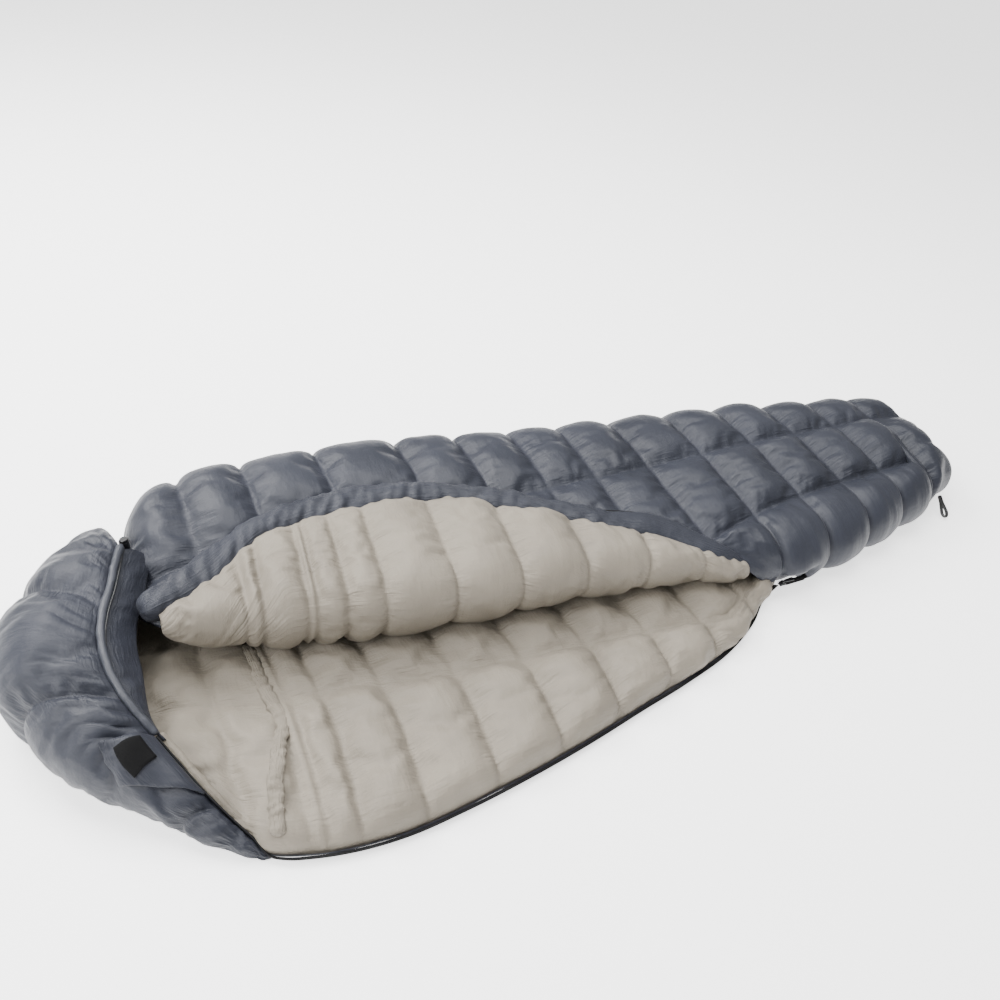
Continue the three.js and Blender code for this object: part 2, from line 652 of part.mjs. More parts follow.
// A padded tab sewn beside the top of the zip. It hangs down the outside of the hood's wall.
const tabRoot = hoodFace(0.235, 0.88, -tabOff);
const tabFloor = hoodFace(0.25, 0.45, -tabOff);
const tabSide = hoodFace(0.12, 0.88, -tabOff);
const tabDown = tabFloor.clone().sub(tabRoot).normalize();
const tabOut = tabDown.clone().cross(tabSide.clone().sub(tabRoot)).normalize();
const tab = new THREE.Group();
tab.applyMatrix4(new THREE.Matrix4()
  .makeBasis(tabDown.clone().cross(tabOut), tabDown, tabOut).setPosition(tabRoot));
bag.add(tab);
const tabShape = new THREE.Shape().moveTo(0, 0).lineTo(-tabWidth, 0)
  .lineTo(-0.42 * tabWidth, tabLength).lineTo(0, tabLength - 12);
add('closure_tab', shellCloth,
  new THREE.ExtrudeGeometry(tabShape, { depth: tabThick, bevelEnabled: false }), tab);
add('hook_patch', blackTrim, brick(patchSize, patchSize, patchThick,
  -patchSize / 2 - 5, tabLength - patchSize / 2 - 16, tabThick + 0.3), tab);

// ---- Foot loop ----------------------------------------------------------------------------

// A webbing loop sewn into the near seam, hanging out and down beside the foot.
const loopAt = bagLength - 78;
const loopSag = 42 * Math.PI / 180;
const loopRoot = nearFace(loopAt, 0.36, -1.5);
const foot = new THREE.Group();
const loopDown = new THREE.Vector3(0, -Math.cos(loopSag), -Math.sin(loopSag));
const loopSide = new THREE.Vector3(1, 0, 0);
foot.applyMatrix4(new THREE.Matrix4()
  .makeBasis(loopDown, loopSide, loopDown.clone().cross(loopSide)).setPosition(loopRoot));
bag.add(foot);

function teardrop(Type, start, halfStart, radius) {
  const centre = loopLength - loopWidth / 2;
  return new Type().moveTo(start, -halfStart).lineTo(centre, -radius)
    .absarc(centre, 0, radius, -Math.PI / 2, Math.PI / 2, false).lineTo(start, halfStart);
}
const loopShape = teardrop(THREE.Shape, 0, 2.4, loopWidth / 2);
loopShape.holes.push(teardrop(THREE.Path, 12, 1.2, loopWidth / 2 - loopThick));
add('foot_loop', blackTrim, new THREE.ExtrudeGeometry(loopShape, {
  depth: loopWeb, bevelEnabled: false, curveSegments: 8 }).translate(0, 0, -loopWeb / 2), foot);

export default bag;
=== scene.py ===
"""A mummy sleeping bag lying open: quilted shell and lining, draft tube, zip, hood and trim.

Metres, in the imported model's frame: +X runs from the hood to the foot, -Y is the zip side.
Along the bag, s is the distance from the crown of the hood.
"""
import math

import bmesh
import bpy
import numpy as np
from mathutils import Matrix, Vector, noise
from mathutils.bvhtree import BVHTree


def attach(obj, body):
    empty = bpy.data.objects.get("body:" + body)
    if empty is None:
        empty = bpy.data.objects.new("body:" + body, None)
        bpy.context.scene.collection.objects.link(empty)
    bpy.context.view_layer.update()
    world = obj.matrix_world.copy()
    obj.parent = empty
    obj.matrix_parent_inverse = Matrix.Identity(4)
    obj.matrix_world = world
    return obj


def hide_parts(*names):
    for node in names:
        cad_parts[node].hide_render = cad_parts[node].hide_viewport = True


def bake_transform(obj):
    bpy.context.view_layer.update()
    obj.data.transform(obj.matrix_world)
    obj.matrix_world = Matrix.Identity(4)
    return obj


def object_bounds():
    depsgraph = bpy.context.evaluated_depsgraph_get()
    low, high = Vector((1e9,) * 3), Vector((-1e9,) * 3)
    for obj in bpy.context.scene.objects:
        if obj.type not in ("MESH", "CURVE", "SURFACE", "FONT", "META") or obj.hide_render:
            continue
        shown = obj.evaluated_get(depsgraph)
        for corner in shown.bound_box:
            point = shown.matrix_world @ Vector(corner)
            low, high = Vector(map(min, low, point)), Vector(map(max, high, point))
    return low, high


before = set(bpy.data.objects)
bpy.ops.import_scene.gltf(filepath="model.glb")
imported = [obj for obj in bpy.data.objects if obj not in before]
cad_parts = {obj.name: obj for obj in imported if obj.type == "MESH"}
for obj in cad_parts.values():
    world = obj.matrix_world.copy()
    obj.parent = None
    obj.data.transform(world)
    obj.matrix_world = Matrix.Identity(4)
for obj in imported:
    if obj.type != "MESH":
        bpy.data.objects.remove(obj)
cad_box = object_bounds()

# ---- Driving sizes ------------------------------------------------------------------------

BAG_LENGTH = 2.11
HALF = BAG_LENGTH / 2
NECK = 0.215                # head edge of the top quilt
CORNER = 0.321              # the zip's head end
ZIP_END = 1.442             # where the slider stands
FOOT_WALL = 2.072
TORSO_TOP = 0.114           # seam level of the torso's top quilt
FOOT_TOP = 0.122            # seam level of the foot section
SIDE_ROUND = 0.072          # how far the quilt's side rounds over
UNDER_TOP = 0.034           # seam level of the underside's lining
FLAP_SEAM = 0.136           # seam level of the folded flap's shell
FAR_SEAM = 0.057            # lengthwise seam between the side and middle columns
RIM_LENGTH = 0.95           # round the hood's opening
HOOD_DEPTH = 0.27           # from the floor over the hood to its rim
HOOD_BULGE = 0.078          # how far the hood stands out between floor and rim
CHAIN_HEIGHT = 0.041        # the closed zip above the floor
LOOP_ROOT = (0.977, -0.1574, 0.0427)
SPACING = 0.0085            # mesh size of the large quilts
CLOTH = 0.0012              # one layer of shell or lining


# ---- Curves along the bag -----------------------------------------------------------------

def track(*stations):
    """A smooth curve through (s, value) stations, held level past both ends."""
    at = np.array([p[0] for p in stations], float)
    value = np.array([p[1] for p in stations], float)
    slope = np.gradient(value, at)

    def curve(s):
        s = np.clip(np.asarray(s, float), at[0], at[-1])
        i = np.clip(np.searchsorted(at, s, side="right") - 1, 0, len(at) - 2)
        span = at[i + 1] - at[i]
        t = (s - at[i]) / span
        return (value[i] * (2 * t**3 - 3 * t**2 + 1) + slope[i] * span * (t**3 - 2 * t**2 + t)
                + value[i + 1] * (3 * t**2 - 2 * t**3) + slope[i + 1] * span * (t**3 - t**2))
    return curve


def ramp(s, start, end, low=0.0, high=1.0):
    t = np.clip((np.asarray(s, float) - start) / (end - start), 0, 1)
    return low + (high - low) * t * t * (3 - 2 * t)


def mix(a, b, t):
    return a + (b - a) * t


def thread(points):
    """A smooth curve through 3-D points, taken from 0 to 1 along its length."""
    points = np.array(points, float)
    run = np.concatenate([[0], np.cumsum(np.linalg.norm(np.diff(points, axis=0), axis=1))])
    axes = [track(*zip(run / run[-1], points[:, k])) for k in range(3)]
    return lambda t: np.stack([axis(t) for axis in axes], -1)


def row_point(s, y, z):
    s, y, z = np.broadcast_arrays(s, y, z)
    return np.stack([s - HALF, y, z], -1)


near_edge = track((0.03, -0.12), (0.06, -0.185), (0.15, -0.285), (CORNER, -0.463), (0.38, -0.485),
                  (0.50, -0.502), (0.69, -0.486), (0.995, -0.429), (1.28, -0.352),
                  (ZIP_END, -0.262), (1.68, -0.240), (1.85, -0.210), (BAG_LENGTH, -0.146))
far_edge = track((0.04, 0.055), (0.095, 0.118), (0.19, 0.16), (NECK, 0.205), (0.29, 0.292),
                 (0.40, 0.325), (0.52, 0.334), (0.995, 0.30), (ZIP_END, 0.246), (BAG_LENGTH, 0.158))
fold_line = track((0.235, -0.095), (0.30, -0.110), (0.40, -0.132), (0.50, -0.147), (0.62, -0.170),
                  (0.77, -0.186), (0.92, -0.200), (1.05, -0.212), (1.24, -0.235), (1.43, -0.262))
tube_inner = track((0.235, -0.085), (0.32, -0.041), (0.42, 0.044), (0.52, 0.065), (0.615, 0.070),
                   (0.79, 0.047), (0.895, -0.004), (1.0, -0.061), (1.10, -0.131), (1.25, -0.216),
                   (1.34, -0.242))
free_edge = track((0.208, -0.027), (0.27, 0.0), (0.367, 0.062), (0.44, 0.107), (0.60, 0.137),
                  (0.81, 0.099), (0.918, 0.046), (1.023, -0.02), (1.10, -0.057), (1.20, -0.097),
                  (1.29, -0.162), (1.43, -0.262))


# ---- Mesh helpers -------------------------------------------------------------------------

def lines(seams, spacing):
    """Grid lines with a whole number of steps between seams, and which of them are seams."""
    at, held = [seams[0]], [True]
    for a, b in zip(seams, seams[1:]):
        count = max(int(round(abs(b - a) / spacing)), 2)
        at += [a + (b - a) * k / count for k in range(1, count + 1)]
        held += [False] * (count - 1) + [True]
    return np.array(at), np.array(held)


def grid(name, rows, columns):
    """A bmesh grid of rows x columns points, with each vertex's place in both lists."""
    bm = bmesh.new()
    bmesh.ops.create_grid(bm, x_segments=len(rows) - 1, y_segments=len(columns) - 1, size=0.5)
    mesh = bpy.data.meshes.new(name)
    bm.to_mesh(mesh)
    bm.free()
    co = read(mesh) + 0.5
    i = np.rint(co[:, 0] * (len(rows) - 1)).astype(int)
    j = np.rint(co[:, 1] * (len(columns) - 1)).astype(int)
    obj = bpy.data.objects.new(name, mesh)
    bpy.context.scene.collection.objects.link(obj)
    return obj, i, j


def read(mesh):
    co = np.empty(len(mesh.vertices) * 3)
    mesh.vertices.foreach_get("co", co)
    return co.reshape(-1, 3)


def write(obj, points):
    obj.data.vertices.foreach_set("co", np.ascontiguousarray(points, float).ravel())
    obj.data.update()


def normals(obj):
    out = np.empty(len(obj.data.vertices) * 3)
    obj.data.vertices.foreach_get("normal", out)
    return out.reshape(-1, 3)


def attribute(obj, name, values):
    layer = obj.data.attributes.new(name, "FLOAT", "POINT")
    layer.data.foreach_set("value", np.asarray(values, np.float32))


def uv_metres(obj, u, v):
    layer = obj.data.uv_layers.new(name="quilt")
    index = np.empty(len(obj.data.loops), int)
    obj.data.loops.foreach_get("vertex_index", index)
    layer.data.foreach_set("uv", np.stack([u[index], v[index]], -1).ravel())


def smooth(obj):
    obj.data.shade_smooth()
    return obj


def ripple(points, scale, seed):
    """Smooth noise in -1..1 at each point, at a wavelength of about scale."""
    shift = Vector((seed * 17.3, seed * 5.1, seed * 9.7))
    return np.array([noise.noise(Vector(p) / scale + shift) for p in points])


def dome(t, power=2.2):
    """0 at both ends of a cell and 1 across its middle, rising steeply from the seam."""
    return np.power(np.clip(1 - np.abs(2 * t - 1) ** power, 0, 1), 0.62)


def cell(at, seams):
    """Where a coordinate lies between its two seams, from 0 to 1, and how far the nearer is."""
    seams = np.asarray(seams)
    k = np.clip(np.searchsorted(seams, at, side="right") - 1, 0, len(seams) - 2)
    width = seams[k + 1] - seams[k]
    t = (at - seams[k]) / width
    return t, np.minimum(t, 1 - t) * width


def inflate(obj, held, pressure, growth, frames=20, most=0.03, bend=0.4):
    """Blows a panel of cloth up between its seams, and keeps the result in the mesh."""
    start = read(obj.data)
    group = obj.vertex_groups.new(name="held")
    group.add([int(i) for i in np.flatnonzero(held)], 1.0, "REPLACE")
    cloth = obj.modifiers.new("cloth", "CLOTH")
    s = cloth.settings
    s.quality = 5
    s.mass = 0.12
    s.tension_stiffness = 12
    s.compression_stiffness = 6
    s.shear_stiffness = 3
    s.bending_stiffness = bend
    s.tension_damping = s.compression_damping = s.shear_damping = 12
    s.air_damping = 4
    s.vertex_group_mass = "held"
    s.pin_stiffness = 1
    s.use_pressure = True
    s.uniform_pressure_force = pressure
    s.shrink_min = -growth
    s.effector_weights.gravity = 0
    cloth.collision_settings.use_collision = False
    scene = bpy.context.scene
    cloth.point_cache.frame_start = 1
    cloth.point_cache.frame_end = frames
    for f in range(1, frames + 1):
        scene.frame_set(f)
    shown = obj.evaluated_get(bpy.context.evaluated_depsgraph_get())
    moved = read(shown.data)
    obj.modifiers.remove(cloth)
    scene.frame_set(1)
    step = moved - start
    length = np.linalg.norm(step, axis=1, keepdims=True)
    write(obj, start + step * np.minimum(1, most / np.maximum(length, 1e-9)))
    obj.vertex_groups.remove(obj.vertex_groups["held"])


def finish_cloth(obj, thickness=CLOTH, levels=1, offset=-1):
    if levels:
        fine = obj.modifiers.new("fine", "SUBSURF")
        fine.levels = fine.render_levels = levels
    wall = obj.modifiers.new("wall", "SOLIDIFY")
    wall.thickness = thickness
    wall.offset = offset
    return smooth(obj)


# ---- Materials ----------------------------------------------------------------------------

def material(name, roughness=0.5, **sockets):
    m = bpy.data.materials.new(name)
    m.use_nodes = True
    shader = m.node_tree.nodes["Principled BSDF"]
    shader.inputs["Roughness"].default_value = roughness
    for key, value in sockets.items():
        shader.inputs[key.replace("_", " ")].default_value = value
    return m, m.node_tree, shader


def node(tree, kind, inputs=None, **settings):
    n = tree.nodes.new(kind)
    for key, value in settings.items():
        setattr(n, key, value)
    for key, value in (inputs or {}).items():
        if isinstance(value, bpy.types.NodeSocket):
            tree.links.new(value, n.inputs[key])
        else:
            n.inputs[key].default_value = value
    return n


def math_node(tree, operation, a, b=0.0):
    return node(tree, "ShaderNodeMath", {0: a, 1: b}, operation=operation).outputs[0]


def quilt_cloth(name, colour, deep, roughness, weave, crinkle, sheen, shine=0.5):
    """Quilted nylon: fine weave, crinkles that run off the seams, and dye that varies a little."""
    m, tree, shader = material(name, roughness, Sheen_Weight=sheen, Sheen_Roughness=0.4,
                               Specular_IOR_Level=shine)
    place = node(tree, "ShaderNodeTexCoord").outputs["Object"]
    uv = node(tree, "ShaderNodeUVMap", uv_map="quilt").outputs["UV"]
    tone = node(tree, "ShaderNodeTexNoise", {
        "Vector": place, "Scale": 6.0, "Detail": 4.0}).outputs["Fac"]
    seam = node(tree, "ShaderNodeAttribute", attribute_name="seam").outputs["Fac"]
    near_seam = node(tree, "ShaderNodeMapRange", {
        "Value": seam, "From Min": 0.0, "From Max": 0.05, "To Min": 1.0, "To Max": 0.12}).outputs[0]
    shade = node(tree, "ShaderNodeMapRange", {
        "Value": tone, "From Min": 0.3, "From Max": 0.7}).outputs[0]
    base = node(tree, "ShaderNodeMix", {"Factor": shade, "A": (*deep, 1), "B": (*colour, 1)},
                data_type="RGBA")
    tree.links.new(base.outputs["Result"], shader.inputs["Base Color"])
    rough = node(tree, "ShaderNodeMapRange", {
        "Value": tone, "From Min": 0.3, "From Max": 0.7,
        "To Min": roughness - 0.06, "To Max": roughness + 0.06}).outputs[0]
    tree.links.new(rough, shader.inputs["Roughness"])
    # Threads cross at right angles on the panel's own map.
    warp = node(tree, "ShaderNodeTexWave", {"Vector": uv, "Scale": weave, "Distortion": 0.4},
                bands_direction="X").outputs["Fac"]
    weft = node(tree, "ShaderNodeTexWave", {"Vector": uv, "Scale": weave, "Distortion": 0.4},
                bands_direction="Y").outputs["Fac"]
    threads = math_node(tree, "ADD", warp, weft)
    across = node(tree, "ShaderNodeMapping", {"Vector": uv, "Scale": (14.0, 95.0, 1.0)}).outputs[0]
    along = node(tree, "ShaderNodeMapping", {"Vector": uv, "Scale": (70.0, 30.0, 1.0)}).outputs[0]
    puckers = node(tree, "ShaderNodeTexNoise", {
        "Vector": across, "Scale": 1.0, "Detail": 3.0, "Roughness": 0.55}).outputs["Fac"]
    creases = node(tree, "ShaderNodeTexNoise", {
        "Vector": along, "Scale": 1.0, "Detail": 4.0, "Roughness": 0.6}).outputs["Fac"]
    ridge = math_node(tree, "ABSOLUTE", math_node(tree, "SUBTRACT", puckers, 0.5))
    pulled = math_node(tree, "MULTIPLY", ridge, near_seam)
    height = math_node(tree, "ADD", math_node(tree, "MULTIPLY", pulled, crinkle),
                       math_node(tree, "MULTIPLY", creases, crinkle * 0.30))
    fine = math_node(tree, "MULTIPLY", threads, 0.00002)
    total = math_node(tree, "ADD", height, fine)
    bump = node(tree, "ShaderNodeBump", {"Height": total, "Strength": 0.8, "Distance": 1.0})
    tree.links.new(bump.outputs[0], shader.inputs["Normal"])
    return m


def plain_trim(name, colour, roughness, scale, depth, **sockets):
    """Woven or moulded trim: a fine procedural grain over one colour."""
    m, tree, shader = material(name, roughness, **sockets)
    place = node(tree, "ShaderNodeTexCoord").outputs["Object"]
    grain = node(tree, "ShaderNodeTexNoise", {
        "Vector": place, "Scale": scale, "Detail": 3.0}).outputs["Fac"]
    bright = tuple(min(c * 1.7 + 0.004, 1) for c in colour)
    base = node(tree, "ShaderNodeMix", {"Factor": grain, "A": (*colour, 1), "B": (*bright, 1)},
                data_type="RGBA")
    tree.links.new(base.outputs["Result"], shader.inputs["Base Color"])
    bump = node(tree, "ShaderNodeBump", {"Height": grain, "Strength": 0.5, "Distance": depth})
    tree.links.new(bump.outputs[0], shader.inputs["Normal"])
    return m


SHELL = quilt_cloth("slate_nylon", (0.026, 0.0285, 0.039), (0.018, 0.020, 0.028), 0.47,
                    900, 0.0060, 0.02, shine=0.30)
LINING = quilt_cloth("greige_taffeta", (0.236, 0.209, 0.168), (0.188, 0.166, 0.133), 0.62,
                     900, 0.0085, 0.04, shine=0.3)
PIPING = quilt_cloth("grey_piping", (0.034, 0.037, 0.048), (0.026, 0.029, 0.038), 0.45,
                     900, 0.0020, 0.02)
TAPE = plain_trim("black_tape", (0.004, 0.004, 0.0045), 0.7, 900, 0.0003, Specular_IOR_Level=0.2)
HOOKS = plain_trim("black_hooks", (0.003, 0.003, 0.0032), 0.9, 1400, 0.0006, Specular_IOR_Level=0.12)
PLASTIC = plain_trim("black_moulding", (0.005, 0.005, 0.006), 0.28, 300, 0.00005)
WEBBING = plain_trim("black_webbing", (0.01, 0.01, 0.011), 0.55, 700, 0.0004)


def dress(obj, *materials):
    for m in materials:
        obj.data.materials.append(m)
    return obj


# ---- Camera, light and floor --------------------------------------------------------------

def place_camera():
    yaw, pitch, roll = math.radians(31.12), math.radians(39.42), math.radians(8.88)
    forward = Vector((math.sin(yaw) * math.cos(pitch), math.cos(yaw) * math.cos(pitch),
                      -math.sin(pitch)))
    level = Vector((math.cos(yaw), -math.sin(yaw), 0))
    rise = level.cross(forward)
    right = level * math.cos(roll) + rise * math.sin(roll)
    up = rise * math.cos(roll) - level * math.sin(roll)
    data = bpy.data.cameras.new("camera")
    data.sensor_width = 36
    data.lens = 32.94
    camera = bpy.data.objects.new("camera", data)
    turn = Matrix((right, up, -forward)).transposed().to_4x4()
    camera.matrix_world = Matrix.Translation((-0.871, -1.18, 1.319)) @ turn
    bpy.context.scene.collection.objects.link(camera)
    bpy.context.scene.camera = camera


def light(name, place, aim, size, power, colour=(1, 1, 1)):
    data = bpy.data.lights.new(name, "AREA")
    data.size = size
    data.energy = power
    data.color = colour
    lamp = bpy.data.objects.new(name, data)
    lamp.location = place
    lamp.rotation_euler = (Vector(aim) - Vector(place)).to_track_quat("-Z", "Y").to_euler()
    bpy.context.scene.collection.objects.link(lamp)


def studio():
    world = bpy.data.worlds.new("studio")
    world.use_nodes = True
    sky = world.node_tree.nodes["Background"]
    sky.inputs["Color"].default_value = (1, 1, 1, 1)
    sky.inputs["Strength"].default_value = 0.5
    bpy.context.scene.world = world
    light("key", (-1.7, 2.1, 2.7), (0, 0, 0), 1.8, 215)
    light("fill", (-2.9, -0.7, 2.2), (-0.5, 0, 0), 1.8, 120)
    light("top", (0.2, 0.4, 3.2), (0.0, 0, 0), 2.4, 140)
    bm = bmesh.new()
    bmesh.ops.create_grid(bm, x_segments=1, y_segments=1, size=14)
    bmesh.ops.translate(bm, verts=bm.verts, vec=(0, 0, cad_box[0][2] - 0.0005))
    mesh = bpy.data.meshes.new("floor")
    bm.to_mesh(mesh)
    bm.free()
    floor = bpy.data.objects.new("floor", mesh)
    bpy.context.scene.collection.objects.link(floor)
    m, _, shader = material("pale_floor", 0.9)
    shader.inputs["Base Color"].default_value = (0.95, 0.95, 0.95, 1)
    shader.inputs["Emission Color"].default_value = (1, 1, 1, 1)
    shader.inputs["Emission Strength"].default_value = 1.6
    floor.data.materials.append(m)


place_camera()
studio()


# ---- Quilts -------------------------------------------------------------------------------

def gathers(across, along, reach, depth, seed, pitch=0.014):
    """Small folds that run off a seam: across is the distance to it, along the place on it."""
    points = np.stack([along / pitch + 0.8 * np.sin(across * 40 + seed), across / (5 * pitch),
                       np.full(len(across), seed * 3.7)], -1)
    wave = np.array([noise.noise(Vector(p)) for p in points])
    return (depth * (wave + 0.35 * np.abs(wave)) * np.exp(-across / reach)
            * (1 - np.exp(-across / 0.005)))


def quilt(obj, u, v, u_seams, v_seams, height, seed, held=None, depth=0.0045, pressure=3.0,
          growth=0.05, keep=None, v_power=4.0, slack=0.16, wall=CLOTH):
    """Puffs a panel up along its normals, cell by cell, with folds that run off its seams."""
    u_cell, u_from = cell(u, u_seams)
    v_cell, v_from = cell(v, v_seams)
    start = read(obj.data)
    loose = 1 + slack * 2 * ripple(start, 0.11, seed)
    puff = height * dome(u_cell) * dome(v_cell, v_power) * loose
    puff += gathers(u_from, v, 0.030, depth, seed)
    puff += gathers(v_from, u, 0.024, depth, seed + 1)
    puff += 0.0022 * ripple(start, 0.034, seed + 2) * dome(u_cell) * dome(v_cell, v_power)
    keep = 1.0 if keep is None else keep
    write(obj, start + normals(obj) * (puff * keep)[:, None])
    attribute(obj, "seam", np.minimum(u_from, v_from))
    uv_metres(obj, u, v)
    if held is not None:
        inflate(obj, held, pressure, growth)
    points = read(obj.data)
    points[:, 2] = np.maximum(points[:, 2], 0.0025)
    write(obj, points)
    finish_cloth(obj, wall)


def facing(obj, direction):
    """Turns a panel so that its faces look along direction."""
    if (normals(obj) @ np.array(direction)).mean() < 0:
        obj.data.flip_normals()


def spread(rows, columns, section):
    """A table of points: section(s) gives a path for each row, and columns cut it evenly."""
    table = np.empty((len(rows), len(columns), 3))
    for k, s in enumerate(rows):
        path = np.asarray(section(float(s)), float)
        run = np.concatenate([[0], np.cumsum(np.linalg.norm(np.diff(path, axis=0), axis=1))])
        at = columns * run[-1]
        table[k] = row_point(s, np.interp(at, run, path[:, 0]), np.interp(at, run, path[:, 1]))
    return table


def tube(name, centres, wide, tall, side, sides=14, closed_ends=True):
    """A tube along centres. wide and tall are its half sizes along side and across it."""
    count = len(centres)
    obj, i, j = grid(name, np.arange(count), np.arange(sides + 1))
    forward = np.gradient(centres, axis=0)
    forward /= np.linalg.norm(forward, axis=1, keepdims=True)
    across = np.broadcast_to(np.asarray(side, float), centres.shape)
    across = across - forward * np.sum(across * forward, axis=1, keepdims=True)
    across = across / np.linalg.norm(across, axis=1, keepdims=True)
    rise = np.cross(across, forward)
    wide = np.broadcast_to(wide, count).astype(float).copy()
    tall = np.broadcast_to(tall, count).astype(float).copy()
    if closed_ends:
        run = np.concatenate([[0], np.cumsum(np.linalg.norm(np.diff(centres, axis=0), axis=1))])
        for half in (wide, tall):
            full = half.copy()
            for away in (run, run[-1] - run):
                part = np.clip(away / np.maximum(full, 1e-6), 0, 1)
                half *= np.sqrt(np.clip(1 - (1 - part) ** 2, 0, 1))
    turn = 2 * math.pi * (j % sides) / sides
    points = (centres[i] + across[i] * (wide[i] * np.cos(turn))[:, None]
              + rise[i] * (tall[i] * np.sin(turn))[:, None])
    write(obj, points)
    uv_metres(obj, i * 0.004, j * 0.01)
    bm = bmesh.new()
    bm.from_mesh(obj.data)
    bmesh.ops.remove_doubles(bm, verts=bm.verts, dist=1e-5)
    bmesh.ops.recalc_face_normals(bm, faces=bm.faces)
    bm.to_mesh(obj.data)
    bm.free()
    return smooth(obj)


def belong(obj, body, replaced=()):
    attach(obj, body)
    if replaced:
        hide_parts(*replaced)


def numbered(name, count):
    return [f"{name}_{k + 1}" for k in range(count)]


# ---- Top quilt ----------------------------------------------------------------------------

TOP_ROWS = [NECK, 0.335, 0.465, 0.615, 0.79, 0.915, 1.04, 1.165, 1.30, 1.437, 1.572, 1.707,
            1.84, 1.965, FOOT_WALL]
near_seam = track((NECK, -0.06), (1.05, -0.155), (1.232, -0.189), (1.413, -0.15), (1.567, -0.129),
                  (1.80, -0.112), (BAG_LENGTH, -0.095))
near_drop = track((NECK, 0.0), (1.18, 0.0), (1.28, 0.17), (1.36, 0.38), (1.415, 0.70),
                  (1.45, 1.0))                # how much of its near side the quilt still has
near_side = track((NECK, -0.010), (0.245, -0.050), (0.29, -0.092), (0.40, -0.128),
                  (1.05, -0.212), (1.24, -0.240), (ZIP_END, -0.275), (1.50, -0.269),
                  (1.68, -0.243), (1.85, -0.207), (BAG_LENGTH, -0.140))
far_loft = track((NECK, 0.012), (0.30, 0.034), (0.50, 0.036), (0.90, 0.026), (1.40, 0.016),
                 (2.0, 0.006))


def top_section(s, inset=0.0):
    """The top quilt's outline at one station, from the far floor line over to the near edge."""
    top = float(ramp(s, 1.30, 1.55, TORSO_TOP, FOOT_TOP)) - float(ramp(s, 1.95, FOOT_WALL, 0, 0.012))
    top -= float(ramp(s, 0.30, NECK, 0, 0.022)) + inset
    loft = float(far_loft(s))
    low = 0.004 + inset
    half = (top - low) / 2
    wide = SIDE_ROUND
    far = float(far_edge(s)) - 0.010 - inset
    near = float(near_side(s)) + 0.010 + inset
    turn = np.linspace(-math.pi / 2, math.pi / 2, 24)
    tall = half + loft / 2
    far_arc = np.stack([far - wide + wide * np.cos(turn), low + tall + tall * np.sin(turn)], -1)
    drop = float(near_drop(s))
    turn = np.linspace(math.pi / 2, math.pi / 2 - math.pi * drop, 24)
    inside = wide * float(ramp(s, 1.12, 1.36))
    near_arc = np.stack([near + inside - inside * np.cos(turn),
                         low + half + half * np.sin(turn)], -1)
    crown = np.linspace(far - wide, near + inside, 24)[1:-1]
    middle = (crown - crown[0]) / (crown[-1] - crown[0])
    over = np.stack([crown, low + 2 * half + 0.010 * np.sin(math.pi * middle)
                     + loft * (1 - ramp(middle, 0.05, 0.62))], -1)
    return np.concatenate([far_arc, over, near_arc])


def run_of(path):
    return np.concatenate([[0], np.cumsum(np.linalg.norm(np.diff(path, axis=0), axis=1))])


def top_quilt():
    rows, held_row = lines(TOP_ROWS, SPACING)
    steps = [40, 26, 24]
    splits = np.cumsum([0] + steps)
    columns = np.arange(splits[-1] + 1)
    obj, i, j = grid("top_quilt_shell", rows, columns)
    table = np.empty((len(rows), len(columns), 3))
    for k, s in enumerate(rows):
        path = top_section(s)
        run = run_of(path)
        at_y = lambda y: np.interp(-y, -path[22:, 0], run[22:])
        far = at_y(FAR_SEAM)
        near = min(max(at_y(float(near_seam(s))), far + 0.04), run[-1] - 0.02)
        at = np.interp(columns, splits, [0, far, near, run[-1]])
        sag = 0.006 * math.sin(s * 37) * np.sin(math.pi * at / run[-1])
        table[k] = row_point(s + sag * (0 < k < len(rows) - 1), np.interp(at, run, path[:, 0]),
                             np.interp(at, run, path[:, 1]))
    write(obj, table[i, j])
    facing(obj, (0, 0, 1))
    across = run_of(table[len(rows) // 2, :, 1:])
    u, v = rows[i], across[j]
    # It puffs less under the flap, beside the closed zip and round the foot loop's root.
    place = read(obj.data)
    under_flap = ramp(place[:, 1] - free_edge(u), -0.03, 0.02)
    keep = np.where((u < 1.42) & (place[:, 2] > 0.06), np.maximum(under_flap, 0.12), 1.0)
    by_zip = (np.abs(u - 1.46) < 0.06) & (place[:, 1] < -0.22) & (place[:, 2] < 0.065)
    keep = np.where(by_zip, 0.15, keep)
    from_loop = np.linalg.norm(place - (0.977, -0.150, 0.055), axis=1)
    keep = keep * ramp(from_loop, 0.02, 0.07, 0.15, 1.0)
    height = 0.017 + 0.006 * ramp(u, 1.25, 1.5)
    quilt(obj, u, v, TOP_ROWS, across[splits], height, 1,
          held=held_row[i] | np.isin(j, splits) | (keep < 0.5), keep=keep)
    dress(obj, SHELL)
    belong(obj, "bag", ["torso_shell", "foot_shell"] + numbered("torso_side_down", 3)
           + numbered("torso_middle_down", 3) + numbered("foot_side_down", 2)
           + numbered("foot_middle_down", 2) + numbered("foot_near_down", 2))
    return table


def top_lining():
    rows, _ = lines([NECK + 0.03, 0.6, 1.0, 1.5, FOOT_WALL - 0.03], 0.02)
    columns = np.linspace(0, 1, 41)
    obj, i, j = grid("top_quilt_lining", rows, columns)
    write(obj, spread(rows, columns, lambda s: top_section(s, 0.036))[i, j])
    facing(obj, (0, 0, -1))
    quilt(obj, rows[i], columns[j] * 0.6, TOP_ROWS, [0, 0.3, 0.6], 0.010, 3)
    dress(obj, LINING)
    belong(obj, "bag", ["torso_lining", "foot_lining"])


